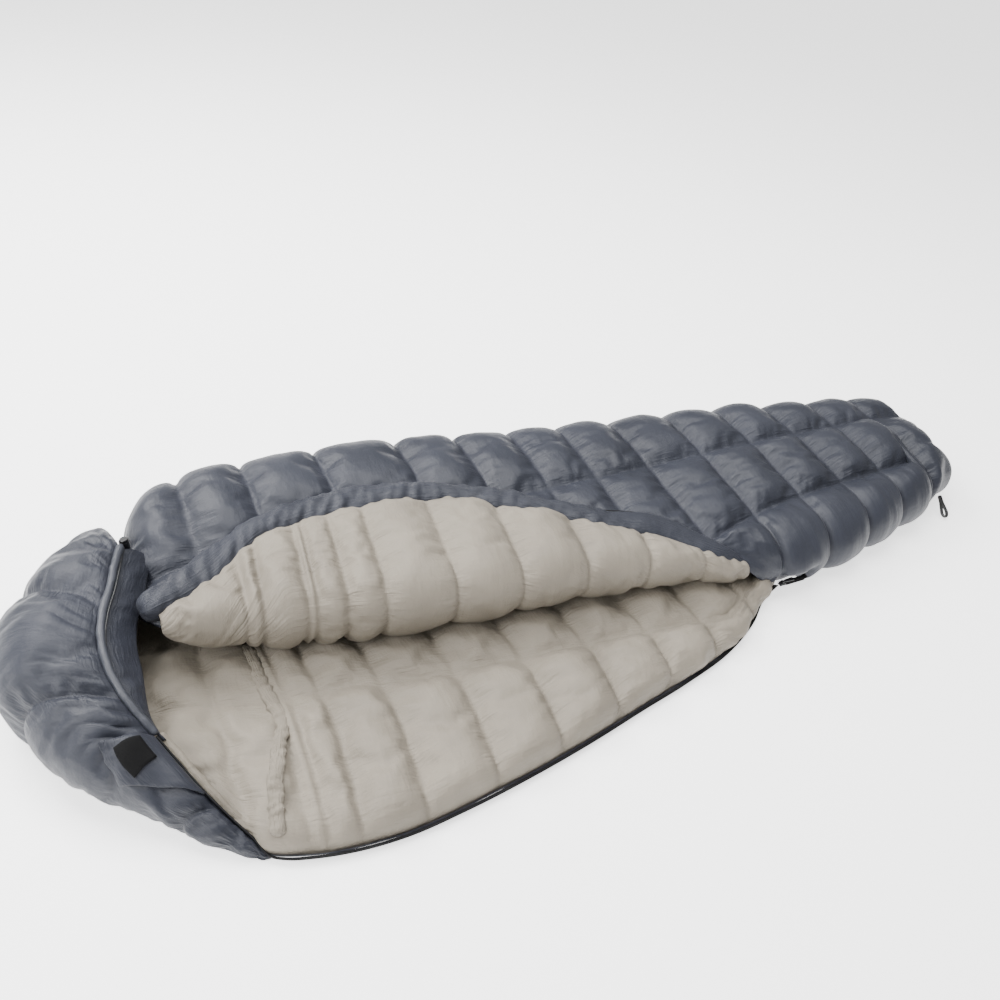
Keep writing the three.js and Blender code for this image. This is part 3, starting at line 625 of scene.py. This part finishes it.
def foot_end(edge):
    """The padded end wall: a domed panel inside the last ring of the quilt."""
    floor = np.linspace(edge[-1], edge[0], 26)[1:-1]
    ring = np.concatenate([edge, floor])
    ring = np.concatenate([ring, ring[:1]])
    middle = ring[:-1].mean(0)
    rings = np.linspace(0, 1, 16)
    obj, i, j = grid("foot_end_shell_quilt", rings, np.arange(len(ring)))
    t = rings[i][:, None]
    points = ring[j] * (1 - t) + middle * t
    points[:, 0] += 0.036 * np.sqrt(np.clip(1 - (1 - rings[i]) ** 2.4, 0, 1))
    points += 0.0022 * ripple(points, 0.03, 9)[:, None] * np.array([1, 0, 0]) * (rings[i] > 0)[:, None]
    write(obj, points)
    facing(obj, (1, 0, 0))
    attribute(obj, "seam", rings[i] * 0.07)
    uv_metres(obj, rings[i] * 0.08, j * 0.006)
    bm = bmesh.new()
    bm.from_mesh(obj.data)
    bmesh.ops.remove_doubles(bm, verts=bm.verts, dist=1e-5)
    bm.to_mesh(obj.data)
    bm.free()
    finish_cloth(obj)
    dress(obj, SHELL)
    belong(obj, "bag", ["foot_end_shell", "foot_end_down"])


top_table = top_quilt()
top_lining()
foot_end(top_table[-1])


# ---- Underside ----------------------------------------------------------------------------

UNDER_ROWS = [0.05, 0.18, 0.30, 0.383, 0.405, 0.455, 0.560, 0.69, 0.82, 0.95, 1.08, 1.20, 1.32,
              1.44, 1.60, 1.80, FOOT_WALL - 0.02]
UNDER_WIDTHS = [0, 0.20, 0.62]


def under_section(s):
    near = float(near_edge(s)) + float(ramp(s, CORNER - 0.08, CORNER - 0.01, 0.032, 0.003))
    near += float(ramp(s, ZIP_END - 0.01, 1.52, 0, 0.05))
    far = float(far_edge(s)) - 0.035
    y = np.linspace(near, far, 60)
    roll = float(ramp(s, CORNER - 0.06, CORNER - 0.01))
    return np.stack([y, UNDER_TOP - 0.023 * roll * (1 - np.clip((y - near) / 0.03, 0, 1)) ** 2], -1)


def underside():
    rows, held_row = lines(UNDER_ROWS, 0.009)
    columns, _ = lines([0, 1], 1 / 64)
    obj, i, j = grid("underside_lining_quilt", rows, columns)
    table = spread(rows, columns, under_section)
    inner = 18
    bow = np.sin(math.pi * np.clip(columns * 2.2, 0, 1)) * 0.016
    fade = ramp(rows, 0.30, 0.45) * (1 - ramp(rows, 1.35, 1.45))
    table[:, :, 0] += fade[:, None] * bow[None, :]
    for k, s in enumerate(rows):
        # The lengthwise seam runs alongside the fold.
        seam = float(fold_line(s)) - 0.075
        near, far = table[k, 0, 1], table[k, -1, 1]
        seam = min(max(seam, near + 0.05), far - 0.1)
        y = np.where(columns <= columns[inner], mix(near, seam, columns / columns[inner]),
                     mix(seam, far, (columns - columns[inner]) / (1 - columns[inner])))
        z = np.interp(y, table[k, :, 1], table[k, :, 2])
        table[k, :, 1], table[k, :, 2] = y, z
    write(obj, table[i, j])
    facing(obj, (0, 0, 1))
    u = rows[i]
    across = np.interp(j, [0, inner, 64], UNDER_WIDTHS)
    keep = ramp(table[i, j, 1], 0.02, -0.08, 0.25, 1.0) * (0.55 + 0.45 * ramp(u, 0.2, 0.45))
    quilt(obj, u, across, UNDER_ROWS, UNDER_WIDTHS, 0.021, 5,
          held=held_row[i] | np.isin(j, [0, inner, 64]) | (keep < 0.4), keep=keep, depth=0.006,
          growth=0.06)
    dress(obj, LINING)
    belong(obj, "bag",
           ["underside_lining", "hood_floor_lining"] + numbered("underside_down", 6))
    shell, i, j = grid("underside_shell_quilt", rows[::2], columns[::2])

    def outer_section(s):
        near = float(near_edge(s)) + 0.001 + float(ramp(s, ZIP_END - 0.01, 1.52, 0, 0.048))
        y = np.linspace(near, float(far_edge(s)) - 0.045, 60)
        return np.stack([y, 0.0022 + 0.008 * (1 - np.clip((y - near) / 0.03, 0, 1)) ** 2], -1)

    table = spread(rows[::2], columns[::2], outer_section)
    write(shell, table[i, j])
    facing(shell, (0, 0, -1))
    attribute(shell, "seam", cell(rows[::2][i], UNDER_ROWS)[1])
    uv_metres(shell, rows[::2][i], columns[::2][j] * 0.6)
    finish_cloth(shell, 0.001)
    dress(shell, SHELL)
    belong(shell, "bag", ["underside_shell"])
    return obj


under = underside()


# ---- Flap ---------------------------------------------------------------------------------

FLAP_ROWS = [0.245, 0.381, 0.410, 0.486, 0.500, 0.552, 0.618, 0.745, 0.870, 1.000, 1.125, 1.250,
             1.36]
FLAP_SHELL_ROWS = [0.285, 0.40, 0.55, 0.70, 0.85, 1.0, 1.15, 1.30]
flap_low = track((0.24, 0.150), (0.40, 0.126), (0.60, 0.120), (1.05, 0.114), (1.25, 0.100),
                 (1.40, 0.062))
flap_round = track((0.24, 0.012), (0.32, 0.034), (0.42, 0.045), (1.05, 0.043), (1.25, 0.034),
                   (1.40, 0.012))
tube_top = track((0.20, 0.182), (0.90, 0.186), (1.02, 0.180), (1.10, 0.172), (1.20, 0.158),
                 (1.29, 0.130), (1.36, 0.098), (1.44, 0.056))


def flap_section(s):
    """From the draft tube across the folded flap, round the fold and in under it."""
    middle, r = float(flap_low(s)), float(flap_round(s))
    fold = float(fold_line(s)) + r
    inner = max(float(tube_inner(s)) + 0.012, fold + 0.004)
    height = min(middle + r + 0.004, float(tube_top(s)) - 0.012)
    top = np.stack([np.linspace(inner, fold, 20)[:-1], np.linspace(height, middle + r, 20)[:-1]], -1)
    turn = np.linspace(math.pi / 2, 3 * math.pi / 2, 20)
    roll = np.stack([fold + r * np.cos(turn), middle + r * np.sin(turn)], -1)
    under_fold = np.array([[fold + 0.05, middle - r + 0.004]])
    return np.concatenate([top, roll, under_fold])


def flap():
    rows, held_row = lines(FLAP_ROWS, 0.0075)
    columns = np.linspace(0, 1, 49)
    obj, i, j = grid("flap_lining_quilt", rows, columns)
    table = spread(rows, columns, flap_section)
    skew = ramp(rows, 0.30, 0.45) * (1 - ramp(rows, 1.1, 1.3))
    table[:, :, 0] -= 0.045 * (skew[:, None] * (columns[None, :] - 0.4))
    write(obj, table[i, j])
    facing(obj, (0, -0.3, 1))
    u = rows[i]
    across = columns[j] * np.interp(u, [0.245, 0.45, 0.9, 1.36], [0.12, 0.36, 0.30, 0.12])
    height = 0.006 + 0.013 * ramp(table[i, j, 1] - fold_line(u), -0.02, 0.05)
    quilt(obj, u, across, FLAP_ROWS, [0, 0.6], height, 7, held=held_row[i] | (j == 0) | (j == 48),
          depth=0.0065, growth=0.05, v_power=8, keep=ramp(columns[j], 0.0, 0.10, 0.1, 1.0))
    dress(obj, LINING)
    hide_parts("flap_lining", "flap_neck_band", *numbered("flap_down", 3))
    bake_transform(obj)

    outer_rows, _ = lines(FLAP_SHELL_ROWS, 0.012)
    outer, i, j = grid("flap_shell_quilt", outer_rows, columns[::2])

    def outer_section(s):
        height = FLAP_SEAM - float(ramp(s, 1.1, 1.3, 0, 0.012))
        fold = float(fold_line(s)) + float(ramp(s, 1.0, 1.15, 0.004, 0.024))
        return np.array([[fold, height - 0.004], [float(free_edge(s)) - 0.012, height + 0.003]])

    table = spread(outer_rows, columns[::2], outer_section)
    write(outer, table[i, j])
    facing(outer, (0, 0, -1))
    u = outer_rows[i]
    quilt(outer, u, columns[::2][j] * 0.3, FLAP_SHELL_ROWS, [0, 0.3], 0.006, 8, depth=0.002)
    dress(outer, SHELL)
    belong(outer, "flap", ["flap_shell"])


def draft_tube():
    s = np.linspace(0.216, ZIP_END - 0.012, 300)
    half = (free_edge(s) - tube_inner(s)) / 2 + 0.004
    half = np.clip(half, 0.010, 0.038) * ramp(s, 1.46, 1.25, 0.5, 1.0)
    half = mix(0.031, half, ramp(s, 0.22, 0.34))
    tall = 0.025 * ramp(s, 1.46, 1.10, 0.34, 1.0)
    middle = free_edge(s) - half
    centres = row_point(s, middle, tube_top(s) - tall)
    sides = 36
    obj = tube("draft_tube_roll", centres, half, tall, (0, 1, 0), sides)
    points = read(obj.data)
    along = points[:, 0] + HALF
    nearest = np.clip(np.searchsorted(s, along), 0, len(s) - 1)
    round_it = np.arctan2(points[:, 2] - centres[nearest, 2], points[:, 1] - centres[nearest, 1])
    loose = ramp(along, 1.25, 0.95, 0.25, 1.0)
    swell = 0.0045 * ripple(np.stack([along, round_it * 0.02, 0 * along], -1), 0.06, 11)
    folds = np.stack([(along + 0.35 * round_it * 0.03) / 0.017, round_it * 0.7, 0 * along], -1)
    crease = np.array([noise.noise(Vector(p)) for p in folds])
    swell += 0.0052 * crease * loose
    write(obj, points + normals(obj) * swell[:, None])
    attribute(obj, "seam", np.full(len(points), 0.012))
    fine = obj.modifiers.new("fine", "SUBSURF")
    fine.levels = fine.render_levels = 1
    dress(obj, SHELL)
    belong(obj, "flap", ["draft_tube"])


flap()
draft_tube()


# ---- Hood ---------------------------------------------------------------------------------

floor_line = thread([(0.320, -0.462, 0.003), (0.225, -0.388, 0.003), (0.156, -0.312, 0.003),
                     (0.090, -0.243, 0.003), (0.046, -0.182, 0.003), (0.016, -0.115, 0.003),
                     (0.014, -0.035, 0.003), (0.034, 0.045, 0.003), (0.095, 0.112, 0.003),
                     (0.200, 0.165, 0.003)])
rim_line = thread([(0.320, -0.462, 0.010), (0.246, -0.352, 0.066), (0.203, -0.268, 0.100),
                   (0.172, -0.216, 0.134), (0.153, -0.160, 0.158), (0.150, -0.105, 0.170),
                   (0.160, -0.050, 0.175), (0.176, -0.005, 0.175), (0.194, 0.060, 0.172),
                   (0.210, 0.108, 0.168)])
HOOD_SEAMS = [0.0, 0.16, 0.50, 0.78, 1.0]
HOOD_LINING_SEAMS = [0.02, 0.25, 0.46, 0.72, 0.985]


def hood_outer(u, v):
    low, high = floor_line(u), rim_line(u)
    across = high - low
    run = np.maximum(np.hypot(across[:, 0], across[:, 1]), 1e-6)[:, None]
    out = np.concatenate([-across[:, :2] * across[:, 2:] / run, run], 1)
    out /= np.linalg.norm(out, axis=1, keepdims=True)
    bulge = HOOD_BULGE * ramp(u, -0.08, 0.50) * np.sin(math.pi * v) ** 0.9
    point = low + across * v[:, None] + out * bulge[:, None]
    point[:, 2] = np.maximum(point[:, 2], 0.003)
    return point


def hood_inner(u, v, inset):
    heart = rim_line(u)
    heart[:, 2] *= 0.3
    outer = hood_outer(u, v)
    step = heart - outer
    return outer + step / np.linalg.norm(step, axis=1, keepdims=True) * np.reshape(inset, (-1, 1))


def in_row(points):
    return points - np.array([HALF, 0, 0])


def hood():
    rows, held_row = lines(HOOD_SEAMS, 0.0085)
    columns = np.linspace(0, 1, 37)
    obj, i, j = grid("hood_shell_quilt", rows, columns)
    u, v = rows[i], columns[j]
    write(obj, in_row(hood_outer(u, v)))
    facing(obj, (-0.5, -0.3, 0.6))
    shape = 0.6 + 0.4 * ramp(u, 0.0, 0.2)
    rim_folds = gathers((1 - v) * 0.22, u * RIM_LENGTH, 0.075, 0.007, 21, 0.017)
    write(obj, read(obj.data) + normals(obj) * (rim_folds * ramp(u, 0.2, 0.34))[:, None])
    quilt(obj, u * RIM_LENGTH, v * HOOD_DEPTH, [x * RIM_LENGTH for x in HOOD_SEAMS],
          [0, HOOD_DEPTH], 0.017, 22,
          held=held_row[i] | (j == 0) | (j == 36), keep=shape, depth=0.005, v_power=5,
          growth=0.05, slack=0.25)
    dress(obj, SHELL)
    belong(obj, "bag", ["hood_shell"] + numbered("hood_down", 4))

    rows, _ = lines(HOOD_LINING_SEAMS, 0.014)
    columns = np.linspace(0, 1, 25)
    lining, i, j = grid("hood_lining_quilt", rows, columns)
    u, v = rows[i], columns[j]
    room = 0.042 * ramp(u, -0.15, 0.35)
    write(lining, in_row(hood_inner(u, mix(0.02, 0.83, v), room)))
    facing(lining, (0.7, 0.1, -0.2))
    quilt(lining, u * RIM_LENGTH, v * 0.2, [x * RIM_LENGTH for x in HOOD_LINING_SEAMS], [0, 0.2],
          0.009, 24, depth=0.004)
    dress(lining, LINING)
    belong(lining, "bag", ["hood_lining"])

    rows = np.linspace(0.37, 0.99, 120)
    columns = np.linspace(0, 1, 13)
    band, i, j = grid("hood_facing_band", rows, columns)
    u, v = rows[i], columns[j]
    rim = rim_line(u) + np.array([0.006, 0.0, -0.004])
    reach = ramp(u, 0.38, 0.62, 0.15, 1.0)[:, None] * np.array([0.047, 0.006, -0.042])
    point = rim + reach * v[:, None]
    point[:, 2] += 0.007 * np.sin(math.pi * v)
    point[:, 0] += 0.005 * ripple(np.stack([u * 36, v * 1.6, 0 * u], -1), 1.0, 5) * np.sin(math.pi * v)
    write(band, in_row(point))
    facing(band, (0.7, 0, 0))
    attribute(band, "seam", np.minimum(v, 1 - v) * 0.065)
    uv_metres(band, u * 0.8, v * 0.065)
    finish_cloth(band)
    dress(band, SHELL)
    belong(band, "bag", ["hood_facing"])

    t = np.linspace(0.385, 0.995, 160)
    pipe = tube("rim_piping", in_row(rim_line(t)) + np.array([0.004, 0, 0.002]), 0.0068, 0.0068,
                (1, 0, 0.01), 16)
    points = read(pipe.data)
    write(pipe, points + normals(pipe) * (0.0012 * ripple(points, 0.02, 31))[:, None])
    attribute(pipe, "seam", np.full(len(points), 0.02))
    dress(pipe, PIPING)
    belong(pipe, "bag", ["rim_channel"])
    return obj


def neck_gathers(table):
    """Cloth that the drawcord gathers, between the hood's far end and the top quilt's head edge."""
    head = table[0]
    rows = np.linspace(0, 1, 61)
    columns = np.linspace(0, 1, 19)
    count = int(np.searchsorted(-head[:, 1], 0.02))
    edge = head[:max(count, 40)]
    run = run_of(edge)
    obj, i, j = grid("neck_gathers", rows, columns)
    t, w = rows[i], columns[j]
    far = np.stack([np.interp(t * run[-1], run, edge[:, k]) for k in range(3)], -1)
    far += np.array([0.012, 0, 0.004])
    up = np.clip(t / 0.62, 0, 1)
    hood_side = in_row(hood_outer(np.full(len(t), 0.99), mix(0.0, 0.97, up)))
    hood_side += ((t > 0.62) * (t - 0.62))[:, None] * np.array([0.03, -0.16, -0.07])
    point = hood_side + (far - hood_side) * w[:, None]
    hollow = np.sin(math.pi * w) * 0.008
    fold = np.array([noise.noise(Vector((a / 0.028, b * 0.6, 3.3))) for a, b in zip(t, w)])
    fold2 = np.array([noise.noise(Vector((a / 0.06, b * 1.4, 8.3))) for a, b in zip(t, w)])
    write(obj, point)
    facing(obj, (0, 0.3, 0.7))
    lift = (0.011 * fold + 0.012 * fold2) * np.sin(math.pi * np.clip(w * 0.9 + 0.05, 0, 1)) - hollow
    write(obj, point + normals(obj) * lift[:, None])
    points = read(obj.data)
    points[:, 2] = np.maximum(points[:, 2], 0.003)
    write(obj, points)
    attribute(obj, "seam", np.minimum(w, 1 - w) * 0.05)
    uv_metres(obj, t * 0.4, w * 0.06)
    finish_cloth(obj)
    dress(obj, SHELL)
    belong(obj, "bag")


hood_quilt = hood()
neck_gathers(top_table)


# ---- Zip, tab and trim --------------------------------------------------------------------

def resting(obj):
    """A lookup of how high obj's surface is over a place in plan."""
    tree = BVHTree.FromObject(obj, bpy.context.evaluated_depsgraph_get())

    def height(x, y, otherwise=0.05):
        hit = tree.ray_cast(Vector((x, y, 0.5)), Vector((0, 0, -1)))[0]
        return hit.z if hit else otherwise
    return height


def strip(name, centres, width, thick, side, body, look, replaced=()):
    obj = tube(name, centres, width / 2, thick / 2, side, 10)
    attribute(obj, "seam", np.full(len(obj.data.vertices), 0.02))
    dress(obj, look)
    belong(obj, body, replaced)
    return obj


def zips():
    wall = [rim_line(np.array([t]))[0] + (0.002, -0.002, 0.003)
            for t in (0.385, 0.30, 0.22, 0.14, 0.07)]
    edge = [(CORNER, -0.462, 0.009)] + [
        (s, float(near_edge(s)) - 0.001, 0.009)
        for s in (0.34, 0.38, 0.44, 0.52, 0.62, 0.75, 0.88, 1.0, 1.12, 1.24, 1.34)]
    end = [(1.40, float(near_edge(1.40)) + 0.004, 0.020), (ZIP_END - 0.012, -0.272, 0.040)]
    path = in_row(thread(np.array(wall + edge + end))(np.linspace(0, 1, 700)))
    roll = in_row(rim_line(np.linspace(0.385, 0.0, 90)) + np.array([0.007, 0.009, -0.006]))
    roll += 0.0015 * ripple(roll, 0.03, 51)[:, None]
    strip("zip_lining_roll", roll, 0.016, 0.013, (1, 0.3, 0), "bag", LINING)
    s = np.linspace(ZIP_END + 0.006, 1.512, 60)
    chain = row_point(s, -0.2745 + ramp(s, 1.497, 1.512, 0, 0.006), CHAIN_HEIGHT)
    strip("closed_zip_chain", chain, 0.011, 0.0042, (0, 1, 0.5), "bag", TAPE,
          ["closed_zip_near", "closed_zip_far"])
    strip("open_zip_tape", path, 0.0105, 0.0032, (0.5, -1, 0.8), "bag", TAPE, ["zip_tape"])
    teeth = path + np.array([0.001, -0.0035, 0.003])
    strip("open_zip_coil", teeth, 0.0030, 0.0030, (0.3, -1, 0), "bag", TAPE, ["zip_coil"])
    s = np.linspace(0.32, ZIP_END - 0.01, 420)
    low = tube_top(s) - ramp(s, 0.9, 1.2, 0.040, 0.021) - ramp(s, 1.3, 1.44, 0, -0.012)
    side = free_edge(s) + ramp(s, 0.9, 1.1, -0.004, 0.004)
    path = row_point(s, side, low)
    strip("flap_zip_tape_band", path, 0.012, 0.0032, (0, 1, 0.5), "flap", TAPE,
          ["flap_zip_tape"])
    strip("flap_zip_coil_band", path + np.array([0, 0.004, 0.002]), 0.0030, 0.0030, (0, 1, 0), "flap",
          TAPE, ["flap_zip_coil"])


def neck_strip():
    """A ruched strip across the underside's lining at the neck."""
    line = thread([(0.378, -0.075, 0), (0.384, -0.168, 0), (0.392, -0.248, 0), (0.370, -0.324, 0),
                   (0.349, -0.385, 0), (0.335, -0.455, 0)])
    height = resting(under)
    t = np.linspace(0, 1, 150)
    points = in_row(line(t))
    z = np.array([height(p[0], p[1], UNDER_TOP) for p in points])
    z = np.convolve(np.pad(z, 6, mode="edge"), np.ones(13) / 13, "valid")
    points[:, 2] = z + 0.001
    obj = tube("neck_ruched_strip", points, 0.0125, 0.0075, (1, 0, 0), 20)
    co = read(obj.data)
    fold = np.array([noise.noise(Vector((p[0] / 0.02, p[1] / 0.009, p[2] / 0.03))) for p in co])
    write(obj, co + normals(obj) * (0.0042 * fold)[:, None])
    attribute(obj, "seam", np.full(len(co), 0.01))
    fine = obj.modifiers.new("fine", "SUBSURF")
    fine.levels = fine.render_levels = 1
    dress(obj, LINING)
    belong(obj, "bag", ["neck_band"])


def between(corners, u, v):
    """The place at u, v inside a four-sided outline whose corners run round it."""
    a, b, c, d = corners
    return (a * (1 - u) + b * u) * (1 - v) + (d * (1 - u) + c * u) * v


def patch(name, corners, count, surface, lift, puff, seed, bridge=0):
    """A four-sided patch laid on another piece. Its corners are places on the hood's outer face."""
    tree = BVHTree.FromObject(surface, bpy.context.evaluated_depsgraph_get())
    steps = np.linspace(0, 1, count)
    obj, i, j = grid(name, steps, steps)
    u, v = steps[i][:, None], steps[j][:, None]
    spot = between([np.array(p, float) for p in corners], u, v)
    outer = in_row(hood_outer(spot[:, 0], spot[:, 1]))
    heart = in_row(rim_line(spot[:, 0])) * np.array([1, 1, 0.2])
    away = outer - heart
    away /= np.linalg.norm(away, axis=1, keepdims=True)
    rise = lift + puff * dome(u[:, 0], 3) * dome(v[:, 0], 3)
    laid = np.empty((count, count, 3))
    for k in range(len(outer)):
        hit = tree.ray_cast(Vector(outer[k] + away[k] * 0.12), Vector(-away[k]))[0]
        laid[i[k], j[k]] = outer[k] if hit is None else hit
    # Cloth bridges the small folds under it.
    for _ in range(bridge):
        laid[1:-1, :] = (laid[:-2, :] + 2 * laid[1:-1, :] + laid[2:, :]) / 4
        laid[:, 1:-1] = (laid[:, :-2] + 2 * laid[:, 1:-1] + laid[:, 2:]) / 4
    points = laid[i, j]
    points += away * (rise + 0.3 * puff * ripple(points, 0.025, seed))[:, None]
    write(obj, points)
    facing(obj, (-0.5, -0.5, 0.6))
    attribute(obj, "seam", np.minimum(np.minimum(u, 1 - u), np.minimum(v, 1 - v))[:, 0] * 0.1)
    uv_metres(obj, u[:, 0] * 0.1, v[:, 0] * 0.1)
    table = np.empty((count, count, 3))
    table[i, j] = points
    return obj, table


def closure():
    outline = [(0.375, 0.99), (0.195, 0.99), (0.248, 0.43), (0.345, 0.70)]
    tab, table = patch("closure_tab_cloth", outline, 24, hood_quilt, 0.009, 0.006, 41, bridge=5)
    finish_cloth(tab, 0.003)
    dress(tab, SHELL)
    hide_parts("closure_tab")
    root, free = in_row(hood_outer(np.array([0.285, 0.285]), np.array([0.99, 0.82])))
    tuple(root)
    tuple(free)
    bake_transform(tab)
    # The hook patch is stitched on the tab, as a smaller four-sided piece of the same surface.
    corners = [np.array(p) * 23 for p in ((0.10, 0.25), (0.47, 0.22), (0.85, 0.68), (0.25, 0.70))]
    steps = np.linspace(0, 1, 12)
    hooks, i, j = grid("hook_patch_square", steps, steps)
    u, v = steps[i][:, None], steps[j][:, None]
    spot = between(corners, u, v)
    base = np.floor(spot).astype(int)
    t = spot - base
    rows, columns = base[:, 0], base[:, 1]
    low = mix(table[rows, columns], table[rows + 1, columns], t[:, :1])
    high = mix(table[rows, columns + 1], table[rows + 1, columns + 1], t[:, :1])
    write(hooks, mix(low, high, t[:, 1:]))
    facing(hooks, (-0.5, -0.5, 0.6))
    write(hooks, read(hooks.data) + normals(hooks) * 0.0008)
    wall = hooks.modifiers.new("wall", "SOLIDIFY")
    wall.thickness, wall.offset = 0.0022, 1
    smooth(hooks)
    dress(hooks, HOOKS)
    belong(hooks, "tab", ["hook_patch"])


def foot_loop():
    root = np.array(LOOP_ROOT)
    down = np.array([0, -0.743, -0.669])
    side = np.array([1.0, 0, 0])
    shape = [(0.0, -0.0016), (0.016, -0.0022), (0.034, -0.0060), (0.045, -0.0076), (0.053, -0.0040),
             (0.0555, 0.0), (0.053, 0.0040), (0.045, 0.0076), (0.034, 0.0060), (0.016, 0.0022),
             (0.0, 0.0016)]
    line = thread([root + down * a + side * b for a, b in shape])
    obj = tube("foot_loop_webbing", line(np.linspace(0, 1, 90)), 0.0050, 0.0010,
               np.cross(down, side), 12)
    attribute(obj, "seam", np.full(len(obj.data.vertices), 0.02))
    dress(obj, WEBBING)
    belong(obj, "loop", ["foot_loop"])


zips()
neck_strip()
closure()
foot_loop()

for name, look in (("slider_body", PLASTIC), ("slider_puller", PLASTIC), ("bottom_stop", PLASTIC),
                   ("cord_lock_barrel", PLASTIC), ("cord_lock_button", PLASTIC),
                   ("hood_drawcord", WEBBING),
                   ("cord_lock_spring", PLASTIC), ("flap_loop_patch", TAPE)):
    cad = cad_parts[name]
    cad.data.materials.clear()
    cad.data.materials.append(look)
